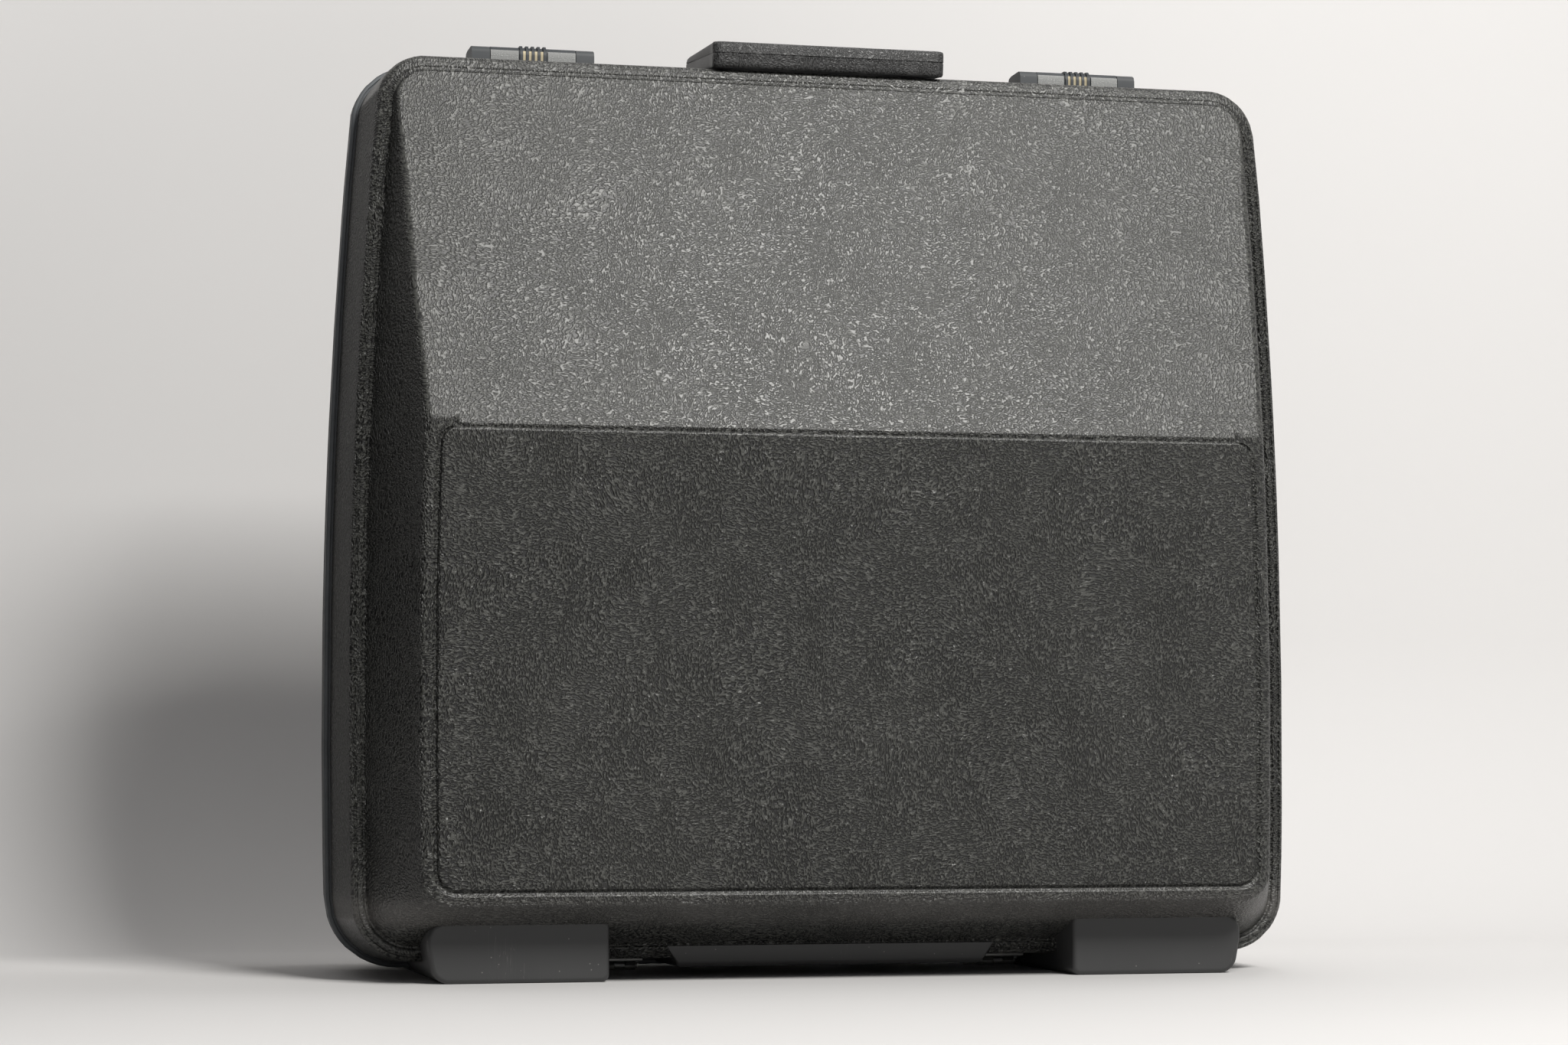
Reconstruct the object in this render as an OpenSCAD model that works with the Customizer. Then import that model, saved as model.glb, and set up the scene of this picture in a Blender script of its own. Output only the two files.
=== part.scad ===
// Hard case for an accordion: two vacuum-formed halves on a bottom hinge, closed by
// two draw latches, with a folding U-shaped handle. Millimetres, +X to the right,
// +Y towards the back, +Z up. The halves meet in the plane y = 0 and the feet stand
// on z = 0.

/* [Overall form] */
// Width across the closing rails at their widest
case_w = 540; // [480:1:660]
// Height of the top edge of the closing rails
rail_top = 505; // [430:1:620]
// Height of the bottom edge of the closing rails
rail_bottom = 4.2; // [4:0.1:5]
// Height at which the case is widest
waist_z = 162; // [140:1:190]
// Radius of the bowed sides
side_bow_r = 3850; // [3300:10:6000]
// Radius of the upper corners of the rails
corner_top_r = 34; // [30:1:40]
// Radius of the lower corners of the rails
corner_bottom_r = 39; // [34:1:46]

/* [Half shells] */
// Thickness of the formed sheet
wall = 3.5; // [3:0.1:4]
// Depth of the outer wall, from the joint to the ledge
wall_depth = 73.6; // [60:0.1:90]
// How far the outer wall draws in over its depth
wall_taper = 3.1; // [2:0.1:4]
// Width of the flat ledge between the outer wall and the raised body
ledge_w = 7.9; // [6:0.1:10]
// Depth of the raised body, from the ledge to its face
body_depth = 59.2; // [45:0.1:80]
// How far the raised body draws in over its depth
body_taper = 22.2; // [14:0.1:26]
// Radius of the edge round the outer wall's front
ledge_edge_r = 3; // [2:0.1:4]
// Radius of the edge round the raised body's face
face_edge_r = 5; // [3:0.1:8]
// Radius of the lower corners of the raised body's face
face_corner_r = 14; // [10:1:20]
// Height of the ridge between the lower panel and the sloping panel
ridge_z = 289.8; // [240:0.1:320]
// Radius of the ridge
ridge_r = 14; // [8:1:24]
// How far the sloping panel stops below the raised body's upper edge
slope_margin = 1.7; // [0:0.1:6]
// How far the lower panel stands out of the raised body's face
panel_rise = 1.4; // [0.8:0.1:2]
// Width of the band round the lower panel
panel_band = 7; // [5:0.1:12]
// Width of the grooves that part the ledge from its neighbours
groove_w = 1.4; // [1:0.1:2]
// Depth of those grooves
groove_depth = 1.1; // [0.6:0.1:1.4]

/* [Feet and centre pad] */
// Distance from the middle of the case to a foot's inner side
foot_inner_x = 128.3; // [118:0.1:140]
// Distance from the middle of the case to a foot's outer side, on the floor
foot_outer_x = 221.7; // [190:0.1:224]
// How far a foot's outer side spreads up to its top
foot_flare = 6.2; // [2:0.1:8]
// Distance from the joint to a foot's front
foot_front = 103.7; // [95:0.1:112]
// Distance from the joint to a foot's hinge end
foot_back = 5.2; // [5:0.1:8]
// Half the width of the centre pad at its top
pad_half_w = 92; // [70:1:92]
// How much narrower each end of the centre pad is at its bottom
pad_slant = 7; // [3:0.1:10]
// Height of the centre pad above the floor
pad_clear = 6; // [5:0.1:8]
// Distance from the joint to the centre pad's hinge end
pad_back = 9; // [8:0.1:20]

/* [Closing rails] */
// Depth of each rail's edge
rail_depth = 5; // [4:0.1:7]
// Width of the rail's lip outside the shell
rail_lip = 3.3; // [2.4:0.1:4]
// Depth of the rail's flange inside the shell
rail_flange = 11; // [9:0.1:16]
// Thickness of that flange
rail_flange_t = 1.5; // [1:0.1:2]
// Distance from the rail's outer edge to the tongue
tongue_inset = 4.3; // [3.8:0.1:4.6]
// Thickness of the tongue
tongue_t = 1.4; // [1:0.1:1.8]
// Height of the tongue
tongue_h = 2; // [1.2:0.1:2.1]

/* [Hinges] */
// Distance from the middle of the case to each hinge
hinge_x = 110; // [108:0.5:112]
// Length of each hinge
hinge_l = 30; // [24:1:30]
// Number of knuckles of each hinge
knuckles = 5; // [3:2:7]
// Height of the hinge axis
hinge_z = 3.4; // [3:0.1:3.6]
// Radius of a knuckle
knuckle_r = 2.4; // [2.1:0.1:2.6]
// Radius of the hinge pin
hinge_pin_r = 1.2; // [0.9:0.05:1.3]
// Reach of a leaf from the joint
leaf_reach = 22; // [20:1:30]
// Thickness of a leaf
leaf_t = 1.2; // [1:0.1:1.5]

/* [Handle] */
// Width across the handle's arms
handle_w = 132; // [110:1:150]
// Width of each arm
arm_w = 14; // [11:0.5:18]
// Distance from the joint to the handle's pivot
pivot_y = 4.5; // [4:0.1:6]
// Height of the handle's pivot above the rail
pivot_rise = 6.8; // [6.6:0.1:9]
// Reach from the pivot to the front of the grip
grip_reach = 73.6; // [64:0.1:90]
// Depth of the grip from front to back
grip_depth = 22; // [18:0.5:28]
// Drop of the grip below the pivot's level, in degrees
handle_droop = 6.8; // [6:0.1:8]
// Radius of the handle's pivot pins
pivot_pin_r = 2; // [1.5:0.1:2.4]

/* [Latches] */
// Distance from the middle of the case to each latch
latch_x = 159; // [120:0.5:170]
// Width of a latch
latch_w = 69; // [64:0.5:80]
// Width of a latch's end cheek
cheek_w = 10.2; // [8:0.1:12]
// Distance from the joint to the front of a latch
latch_front = 30; // [28:0.5:34]
// Width of the ribbed middle of the lever
rib_zone_w = 15.5; // [12:0.1:20]
// Number of ribs on a lever
ribs = 5; // [3:1:7]
// Radius of the latch pins
latch_pin_r = 1.25; // [1:0.05:1.5]
// Thickness of the hasp's steel
hasp_t = 1.6; // [1.2:0.1:2]

/* [Lining] */
// Thickness of the plush-covered foam
lining_t = 8; // [5:0.5:14]
// Gap between the lining and the shell, taken up by glue
glue_gap = 0.3; // [0.2:0.05:0.5]
// Height of the foam blocks that the instrument stands on
block_h = 26; // [15:1:40]
// Half the length of those foam blocks
block_half_w = 170; // [120:1:200]

/* [Hidden] */

// Faces on each rounded corner and on each bowed side
corner_steps = 8;
side_steps = 8;
// Faces on a rounded edge
edge_steps = 3;
// Facets of turned parts
turned = 48;
// Clearance round a pin that turns, and of a fixed part in its hole
run_gap = 0.06;
fit_gap = 0.04;
// Gap between parts of different bodies
part_gap = 0.3;

face_depth = wall_depth + body_depth;
total_depth = face_depth + panel_rise;
ledge_inset = rail_lip + wall_taper;
body_inset = ledge_inset + ledge_w + 0.7;
face_inset = body_inset + body_taper;
wall_angle = atan(wall_taper / (wall_depth - rail_depth));
draft = atan(body_taper / body_depth);
bow_cx = case_w / 2 - side_bow_r;
flange_inset = rail_lip + wall + 0.7;
flange_end = rail_depth + rail_flange;
shell_edge = rail_depth + 0.1;

// How far the outer wall is drawn in at a distance from the joint
function wall_inset(y) = rail_lip + wall_taper * (y - rail_depth) / (wall_depth - rail_depth);
// Height of the outer wall's top and underside at a distance from the joint
function wall_top(y) = rail_top - wall_inset(y);
function wall_under(y) = rail_bottom + wall_inset(y);

// Points along an arc
function arc(c, r, a0, a1, n) =
  [for (k = [0:n]) let (a = a0 + (a1 - a0) * k / n) [c[0] + r * cos(a), c[1] + r * sin(a)]];
// Centre of a corner of radius r at height z, drawn in by i, tangent to the bowed side
function corner_centre(i, r, z) =
  [bow_cx + sqrt(pow(side_bow_r - i - r, 2) - pow(z - waist_z, 2)), z];
function bow_angle(c) = atan2(c[1] - waist_z, c[0] - bow_cx);
// Right half of the case's outline, drawn in by i, with its own corner radii
function right_side(i, rt, rb) =
  let (top = corner_centre(i, rt, rail_top - i - rt),
       low = corner_centre(i, rb, rail_bottom + i + rb),
       side = arc([bow_cx, waist_z], side_bow_r - i, bow_angle(low), bow_angle(top), side_steps))
  concat(arc(low, rb, -90, bow_angle(low), corner_steps),
    [for (k = [1:side_steps - 1]) side[k]],
    arc(top, rt, bow_angle(top), 90, corner_steps));
function mirrored(pts) = [for (k = [len(pts) - 1:-1:0]) [-pts[k][0], pts[k][1]]];
function outline(i, rt, rb) =
  let (half = right_side(i, rt, rb)) concat(half, mirrored(half));
function parallel_outline(i) = outline(i, corner_top_r - i, corner_bottom_r - i);

// Solid through a stack of outlines, each [depth, inset, upper radius, lower radius]
module loft(rings) {
  n = len(outline(0, 9, 9));
  last = len(rings) - 1;
  pts = [for (g = rings) for (p = outline(g[1], g[2], g[3])) [p[0], -g[0], p[1]]];
  sides = [for (k = [0:last - 1]) for (j = [0:n - 1]) for (half = [0, 1])
    let (a = k * n + j, b = k * n + (j + 1) % n)
    half == 0 ? [a, a + n, b + n] : [a, b + n, b]];
  polyhedron(points = pts, convexity = 4, faces = concat(
    [[for (j = [0:n - 1]) j]], sides, [[for (j = [n - 1:-1:0]) last * n + j]]));
}

// Outer wall with its rounded front edge, drawn in by d on every side
function wall_rings(d, start) =
  let (r = max(ledge_edge_r - d, 1), front = wall_depth - d)
  concat([[start, wall_inset(start) + d, corner_top_r - rail_lip - d,
      corner_bottom_r - rail_lip - d]],
    [for (k = [0:edge_steps]) let (a = 90 * k / edge_steps, i = r * (1 - cos(a)))
      [front - r + r * sin(a), ledge_inset + d + i, corner_top_r - ledge_inset - d - i,
        corner_bottom_r - ledge_inset - d - i]]);

// Raised body with its rounded face edge, drawn in by d on every side
function body_rings(d) =
  let (front = face_depth - d,
       r = max(face_edge_r - d, 1),
       lap = r * tan((90 - draft) / 2),
       root = wall_depth - d - ledge_edge_r - 2,
       i_root = body_inset + d + (root - wall_depth) * tan(draft),
       i_face = body_inset + d + (front - wall_depth) * tan(draft),
       rt0 = corner_top_r - body_inset - d,
       rb0 = corner_bottom_r - body_inset - d,
       rb1 = face_corner_r - d)
  concat([[root, i_root, rt0, rb0]],
    [for (k = [0:edge_steps]) let (a = draft + (90 - draft) * k / edge_steps)
      [front - r + r * sin(a), i_face + lap - r * cos(a), rt0 - 3, rb1]]);

// Side view of the raised body: upright lower panel, rounded ridge and sloping panel
module slope_profile() {
  top_z = rail_top - body_inset - slope_margin;
  lean = atan((total_depth - wall_depth) / (top_z - ridge_z));
  lap = ridge_r * tan(lean / 2);
  centre = [-(total_depth - ridge_r), ridge_z - lap];
  inner = wall_depth - 20;
  rotate([90, 0, 90])
    translate([0, 0, -case_w / 2])
      linear_extrude(case_w)
        polygon(concat([[-inner, -20], [-total_depth, -20]],
          arc(centre, ridge_r, 180, 180 - lean, 4),
          [[-inner, top_z + (wall_depth - inner) / tan(lean)]]));
}

// Low raised panel on the face of the body
module lower_panel() {
  i = face_inset + panel_band;
  rotate([90, 0, 0])
    translate([0, 0, face_depth - 2])
      linear_extrude(panel_rise + 2)
        polygon(outline(i, face_corner_r - 5, face_corner_r - 5));
}

// Form of one half, drawn in by d; the front half has the sloping panel
module half_form(d, start, sloping) {
  loft(wall_rings(d, start));
  if (sloping) {
    intersection() {
      union() {
        loft(body_rings(d));
        if (d == 0)
          translate([0, -0.5, 0])
            lower_panel();
      }
      translate([0, d, 0])
        slope_profile();
    }
  } else {
    loft(body_rings(d));
    if (d == 0)
      lower_panel();
  }
}

// Solid pressed out of an outline ring of the case, from one depth to another
module outline_ring(i0, i1, y0, y1) {
  rotate([90, 0, 0])
    translate([0, 0, y0])
      linear_extrude(y1 - y0)
        difference() {
          polygon(parallel_outline(i0));
          polygon(parallel_outline(i1));
        }
}

// Foot on the right: upright inside, flared outside, rounded below
module foot() {
  r_in = 5;
  r_out = 8;
  top = 36;
  rotate([90, 0, 0])
    translate([0, 0, foot_back])
      linear_extrude(foot_front - foot_back)
        hull() {
          translate([foot_inner_x + r_in, r_in])
            circle(r = r_in, $fn = turned);
          translate([foot_outer_x - r_out, r_out])
            circle(r = r_out, $fn = turned);
          translate([foot_inner_x, top - 1])
            square([foot_outer_x - foot_inner_x + foot_flare, 1]);
        }
}

// Smooth pad in the middle of the underside, level with the ledge
module centre_pad() {
  pad_top = rail_bottom + body_inset - 2;
  pad_front = wall_depth + 0.9;
  bottom_half_w = pad_half_w - pad_slant;
  chamfer = 3;
  difference() {
    rotate([90, 0, 0])
      translate([0, 0, pad_back])
        linear_extrude(pad_front - pad_back)
          polygon([[-bottom_half_w, pad_clear], [bottom_half_w, pad_clear],
            [pad_half_w, pad_top], [-pad_half_w, pad_top]]);
    translate([0, -pad_front, pad_clear])
      rotate([45, 0, 0])
        cube([case_w, chamfer * sqrt(2), chamfer * sqrt(2)], center = true);
  }
}

// Places children on the outer wall's top or underside, square to it
module on_wall(x, y, top) {
  z = top ? wall_top(y) : wall_under(y);
  translate([x, -y, z])
    rotate([top ? wall_angle : 180 - wall_angle, 0, 0])
      children();
}

rivet_r = 1.5;
rivet_head_r = 2.8;
rivet_head_h = 1;
// Distance from the joint to the rivets, which pass through wall and rail flange
rivet_y = 12.5;
keeper_rivet_y = 13.9;
hinge_rivet_dx = 9;
latch_rivet_dx = 29.4;
keeper_rivet_dx = 10;
bracket_rivet_dx = 5;
bracket_x = handle_w / 2 - arm_w - part_gap - 8;

// Rivet through a plate of thickness t, the wall and the rail's flange
module rivet(t) {
  depth = flange_inset + rail_flange_t - wall_inset(rivet_y) + 0.4;
  translate([0, 0, -depth])
    cylinder(r = rivet_r, h = depth + t + rivet_head_h, $fn = turned);
  translate([0, 0, t])
    cylinder(r1 = rivet_head_r, r2 = rivet_head_r - 0.6, h = rivet_head_h, $fn = turned);
  translate([0, 0, -depth - rivet_head_h + 0.2])
    cylinder(r = rivet_head_r - 0.4, h = rivet_head_h, $fn = turned);
}

module rivet_hole() {
  translate([0, 0, -12])
    cylinder(r = rivet_r + fit_gap, h = 24, $fn = turned);
}

// Every rivet of the front half, then of the rear half
module hinge_rivet_places() {
  for (side = [-1, 1], dx = [-1, 1])
    on_wall(side * hinge_x + dx * hinge_rivet_dx, rivet_y, false)
      children();
}
module latch_rivet_places() {
  for (side = [-1, 1], dx = [-1, 1])
    on_wall(side * latch_x + dx * latch_rivet_dx, rivet_y, true)
      children();
}
module bracket_rivet_places() {
  for (side = [-1, 1], dx = [-1, 1])
    on_wall(side * (bracket_x - 5) + dx * bracket_rivet_dx, rivet_y, true)
      children();
}
module keeper_rivet_places() {
  for (side = [-1, 1], dx = [-1, 1])
    on_wall(side * latch_x + dx * keeper_rivet_dx, keeper_rivet_y, true)
      children();
}
module front_holes() {
  hinge_rivet_places() rivet_hole();
  latch_rivet_places() rivet_hole();
  bracket_rivet_places() rivet_hole();
}
module rear_holes() {
  hinge_rivet_places() rivet_hole();
  keeper_rivet_places() rivet_hole();
}

// One formed shell, open at the joint
module shell(sloping) {
  difference() {
    union() {
      half_form(0, shell_edge, sloping);
      for (side = [0, 1])
        mirror([side, 0, 0])
          foot();
      centre_pad();
    }
    half_form(wall, shell_edge - 2, sloping);
    outline_ring(ledge_inset + 1.6, ledge_inset + 1.6 + groove_w,
      wall_depth - groove_depth, wall_depth + 0.5);
    outline_ring(body_inset - 0.7 - groove_w, body_inset - 0.7,
      wall_depth - groove_depth, wall_depth + 0.5);
    if (sloping)
      front_holes();
    else
      rear_holes();
  }
}

module front_shell() {
  color("#1c1d1f")
    shell(true);
}

module rear_shell() {
  color("#1c1d1f")
    mirror([0, 1, 0])
      shell(false);
}

// Room in a rail for the hinge leaves and the ends of their pins
module hinge_notches() {
  notch_l = hinge_l + 3.2;
  for (side = [-1, 1])
    translate([side * hinge_x - notch_l / 2, -rail_depth - 1, -1])
      cube([notch_l, rail_depth + tongue_h + 2, rail_bottom + rail_lip + 1.1]);
}

// Closing rail: lip, web over the shell's edge and flange inside; edge is its near face
module rail(edge) {
  outline_ring(0, flange_inset + rail_flange_t, edge, rail_depth);
  outline_ring(flange_inset, flange_inset + rail_flange_t, rail_depth - 0.1, flange_end);
}

module front_rail() {
  color("#3a3b3d")
    difference() {
      rail(0);
      outline_ring(tongue_inset - part_gap, tongue_inset + tongue_t + 2 * part_gap, -1,
        tongue_h + 0.6);
      outline_ring(2.1, 2.6, rail_depth - 0.8, rail_depth + 0.2);
      hinge_notches();
      front_holes();
    }
}

module rear_rail() {
  color("#3a3b3d")
    mirror([0, 1, 0])
      difference() {
        union() {
          rail(part_gap / 2);
          outline_ring(tongue_inset, tongue_inset + tongue_t, -tongue_h, part_gap / 2 + 0.1);
        }
        outline_ring(2.1, 2.6, rail_depth - 0.8, rail_depth + 0.2);
        hinge_notches();
        rear_holes();
      }
}

// Leaf with its knuckles; own is 0 for the outer knuckles and 1 for the inner ones
module hinge_leaf(own) {
  pitch = hinge_l / knuckles;
  play = 0.15;
  plate_under = wall_under(leaf_reach) - leaf_t;
  for (side = [-1, 1])
    translate([side * hinge_x - hinge_l / 2, 0, 0])
      difference() {
        union() {
          rotate([90, 0, 90])
            linear_extrude(hinge_l)
              polygon([[-4.6, wall_under(shell_edge) - 0.02],
                [-shell_edge, wall_under(shell_edge) - 0.02],
                [-leaf_reach, wall_under(leaf_reach) - 0.02], [-leaf_reach, plate_under],
                [-shell_edge, wall_under(shell_edge) - leaf_t], [-3.7, 5.6]]);
          for (k = [own:2:knuckles - 1])
            translate([k * pitch + play, 0, 0])
              rotate([90, 0, 90])
                linear_extrude(pitch - 2 * play)
                  union() {
                    translate([0, hinge_z])
                      circle(r = knuckle_r, $fn = turned);
                    polygon([[-2.3, hinge_z], [-0.2, hinge_z + 2.3], [-1.2, 6.4],
                      [-4.6, wall_under(shell_edge) - 0.02], [-5.4, 6.6], [-3.7, 5.6]]);
                  }
        }
        translate([-1, 0, hinge_z])
          rotate([0, 90, 0])
            cylinder(r = hinge_pin_r + run_gap, h = hinge_l + 2, $fn = turned);
        translate([-side * hinge_x + hinge_l / 2, 0, 0])
          hinge_rivet_places()
            rivet_hole();
      }
}

module hinge_leaf_front() {
  color("silver")
    hinge_leaf(0);
}

module hinge_leaf_rear() {
  color("silver")
    mirror([0, 1, 0])
      hinge_leaf(1);
}

module hinge_pins() {
  color("silver")
    for (side = [-1, 1])
      translate([side * hinge_x - hinge_l / 2 - 0.4, 0, hinge_z])
        rotate([0, 90, 0]) {
          cylinder(r = hinge_pin_r, h = hinge_l + 0.8, $fn = turned);
          translate([0, 0, -0.6])
            cylinder(r = hinge_pin_r + 0.5, h = 0.6, $fn = turned);
          translate([0, 0, hinge_l + 0.8])
            cylinder(r = hinge_pin_r + 0.5, h = 0.6, $fn = turned);
        }
}

module hinge_rivets_front() {
  color("silver")
    hinge_rivet_places()
      rivet(leaf_t);
}

module hinge_rivets_rear() {
  color("silver")
    mirror([0, 1, 0])
      hinge_rivet_places()
        rivet(leaf_t);
}

pivot_z = rail_top + pivot_rise;
seam_z = 2.8;
grip_top = 9.4;
grip_under = -4.9;
arm_top = 6.2;
arm_under = -4.5;
arm_tail = 6;
tail_r = 3.5;
grip_r = 5.5;

// Places children in the handle's own frame, with the pivot at the origin
module in_handle() {
  translate([0, -pivot_y, pivot_z])
    rotate([handle_droop, 0, 0])
      children();
}

// Handle seen from the side: deep rounded grip and arms that thin towards the pivot
module handle_side() {
  rotate([90, 0, 90])
    translate([0, 0, -handle_w])
      linear_extrude(2 * handle_w)
        union() {
          hull()
            for (y = [-grip_reach + grip_r, -grip_reach + grip_depth - grip_r],
                z = [grip_under + grip_r, grip_top - grip_r])
              translate([y, z])
                circle(r = grip_r, $fn = turned);
          hull() {
            for (z = [arm_under + tail_r, arm_top - tail_r])
              translate([arm_tail - tail_r, z])
                circle(r = tail_r, $fn = turned);
            translate([-grip_reach + grip_depth - 8, grip_under + 0.1])
              square([1, grip_top - grip_under - 0.2]);
          }
        }
}

// Handle seen from above, drawn in by d: a U with rounded outer and inner corners
module handle_plan(d) {
  outer_r = 16 - d;
  inner_r = 7 + d;
  half_w = handle_w / 2 - d;
  inner_w = handle_w / 2 - arm_w + d;
  difference() {
    hull() {
      for (side = [-1, 1])
        translate([side * (half_w - outer_r), -grip_reach + d + outer_r])
          circle(r = outer_r, $fn = turned);
      translate([-half_w, 0])
        square([2 * half_w, arm_tail - d]);
    }
    hull() {
      for (side = [-1, 1])
        translate([side * (inner_w - inner_r), -grip_reach + grip_depth - d + inner_r])
          circle(r = inner_r, $fn = turned);
      translate([-inner_w, 0])
        square([2 * inner_w, arm_tail + 1]);
    }
  }
}

core_t = 2;
core_margin = 4.2;
pin_end = handle_w / 2 - 3;
screw_places = [[-(handle_w - arm_w) / 2, -26], [(handle_w - arm_w) / 2, -26],
  [-22, -grip_reach + 5.4], [22, -grip_reach + 5.4]];
screw_r = 1.4;
screw_head_r = 2.6;

module handle_form() {
  intersection() {
    handle_side();
    translate([0, 0, grip_under - 2])
      linear_extrude(grip_top - grip_under + 4)
        handle_plan(0);
  }
}

module handle_cuts() {
  translate([0, 0, seam_z - core_t / 2 - 0.05])
    linear_extrude(core_t + 0.1)
      intersection() {
        handle_plan(core_margin - 0.1);
        translate([-handle_w, -handle_w])
          square([2 * handle_w, handle_w - 9.9]);
      }
  for (side = [-1, 1])
    translate([side * (handle_w / 2 - arm_w - 1), 0, 0])
      rotate([0, side * 90, 0])
        cylinder(r = pivot_pin_r + run_gap, h = arm_w - 1.7, $fn = turned);
  for (p = screw_places)
    translate([p[0], p[1], grip_under - 3]) {
      cylinder(r = screw_r + fit_gap, h = seam_z - grip_under + 6, $fn = turned);
      cylinder(r = screw_head_r + 0.2, h = 5.4, $fn = turned);
    }
}

module handle_upper() {
  color("#232426")
    in_handle()
      difference() {
        handle_form();
        handle_cuts();
        translate([-handle_w, -handle_w, seam_z - 60])
          cube([2 * handle_w, 2 * handle_w, 60]);
      }
}

module handle_lower() {
  color("#232426")
    in_handle()
      difference() {
        handle_form();
        handle_cuts();
        translate([-handle_w, -handle_w, seam_z])
          cube([2 * handle_w, 2 * handle_w, 60]);
      }
}

module handle_core() {
  color("silver")
    in_handle()
      difference() {
        translate([0, 0, seam_z - core_t / 2])
          linear_extrude(core_t)
            intersection() {
              handle_plan(core_margin);
              translate([-handle_w, -handle_w])
                square([2 * handle_w, handle_w - 10]);
            }
        for (p = screw_places)
          translate([p[0], p[1], -10])
            cylinder(r = screw_r + fit_gap, h = 30, $fn = turned);
      }
}

module handle_screws() {
  color("silver")
    in_handle()
      for (p = screw_places)
        translate([p[0], p[1], grip_under + 2.4]) {
          cylinder(r = screw_r, h = seam_z - grip_under + 0.4, $fn = turned);
          translate([0, 0, -1.6])
            cylinder(r = screw_head_r, h = 1.6, $fn = turned);
        }
}

ear_t = 5;
ear_r = 4.8;
base_t = 2;
bracket_front = 21;
bracket_end = 9.1;

// Bracket on the right: a riveted foot with one ear beside the handle's arm
module handle_bracket() {
  ear_x = handle_w / 2 - arm_w - part_gap - ear_t;
  foot_w = 20;
  difference() {
    union() {
      translate([ear_x, 0, 0])
        rotate([90, 0, 90])
          linear_extrude(ear_t)
            hull() {
              translate([-pivot_y, pivot_z])
                circle(r = ear_r, $fn = turned);
              polygon([[-bracket_front, wall_top(bracket_front)],
                [-bracket_end, wall_top(bracket_end)], [-bracket_end, wall_top(bracket_end) + base_t],
                [-bracket_front, wall_top(bracket_front) + base_t]]);
            }
      translate([ear_x + ear_t - foot_w, 0, 0])
        rotate([90, 0, 90])
          linear_extrude(foot_w - 0.1)
            polygon([[-bracket_front, wall_top(bracket_front) + 0.02],
              [-bracket_end, wall_top(bracket_end) + 0.02],
              [-bracket_end, wall_top(bracket_end) + base_t],
              [-bracket_front, wall_top(bracket_front) + base_t]]);
    }
    translate([ear_x - 1, -pivot_y, pivot_z])
      rotate([0, 90, 0])
        cylinder(r = pivot_pin_r + fit_gap, h = ear_t + 2, $fn = turned);
    bracket_rivet_places()
      rivet_hole();
  }
}

module handle_brackets() {
  color("#2b2c2e")
    for (side = [0, 1])
      mirror([side, 0, 0])
        handle_bracket();
}

module handle_pins() {
  color("silver")
    for (side = [0, 1])
      mirror([side, 0, 0])
        translate([handle_w / 2 - arm_w - part_gap - ear_t - 0.8, -pivot_y, pivot_z])
          rotate([0, 90, 0]) {
            cylinder(r = pivot_pin_r, h = ear_t + 0.8 + arm_w - 4, $fn = turned);
            translate([0, 0, -0.8])
              cylinder(r = pivot_pin_r + 0.9, h = 1.5, $fn = turned);
          }
}

module bracket_rivets() {
  color("silver")
    bracket_rivet_places()
      rivet(base_t);
}

// The lever turns about lever_axis and carries the hasp at hasp_axis, as [y, z]
lever_axis = [-10.5, rail_top + 4.3];
hasp_axis = [-15.5, rail_top + 0.9];
lever_half_w = latch_w / 2 - cheek_w - part_gap;
web_x = 19.6;
web_t = 2;
arm_x = web_x + web_t + 0.4;
fork_front = 23.5;
lever_top = rail_top + 9.4;
ear_x = web_x - 0.4 - 3.2;
floor_t = 1.6;
cheek_end = rail_depth + 0.4;

module side_extrude(x, w) {
  translate([x, 0, 0])
    rotate([90, 0, 90])
      linear_extrude(w)
        children();
}

module latch_base() {
  difference() {
    union() {
      for (side = [0, 1])
        mirror([side, 0, 0]) {
          side_extrude(latch_w / 2 - cheek_w, cheek_w)
            polygon([[-latch_front, wall_top(latch_front) + 0.02],
              [-cheek_end, wall_top(cheek_end) + 0.02], [-cheek_end, lever_top - 4],
              [-cheek_end - 2, lever_top - 1.2],
              [-12, lever_top - 0.4], [-latch_front + 3.4, lever_top - 0.4],
              [-latch_front + 1, lever_top - 1.6], [-latch_front, lever_top - 4]]);
          side_extrude(ear_x, 3.2)
            hull() {
              translate(lever_axis)
                circle(r = 2.9, $fn = 32);
              translate([lever_axis[0] - 2.9, wall_top(-lever_axis[0]) + 0.3])
                square([5.8, 1]);
            }
        }
      side_extrude(-latch_w / 2 + 1, latch_w - 2)
        polygon([[-26, wall_top(26) + 0.02], [-cheek_end, wall_top(cheek_end) + 0.02],
          [-cheek_end, wall_top(cheek_end) + floor_t], [-26, wall_top(26) + floor_t]]);
    }
    translate([-latch_w, 0, 0])
      rotate([0, 90, 0])
        linear_extrude(2 * latch_w)
          translate([-lever_axis[1], lever_axis[0]])
            circle(r = latch_pin_r + fit_gap, $fn = turned);
    for (dx = [-1, 1])
      on_wall(dx * latch_rivet_dx, rivet_y, true) {
        rivet_hole();
        translate([0, 0, floor_t + 1])
          cylinder(r = rivet_head_r + 0.3, h = 20, $fn = turned);
      }
  }
}

// Side view of the lever, to its full depth
function lever_outline() = [[lever_axis[0] + 1, lever_top - 0.2],
  [-20, lever_top], [-latch_front + 3, lever_top - 0.4], [-latch_front + 0.9, lever_top - 2.2],
  [-latch_front + 0.5, lever_top - 5], [-latch_front + 1, rail_top - 3.2],
  [-latch_front + 2.6, rail_top - 3.4], [-latch_front + 3.4, rail_top - 1.6],
  [hasp_axis[0], rail_top - 1.5],
  [lever_axis[0], lever_axis[1] - 3.4]];

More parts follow.
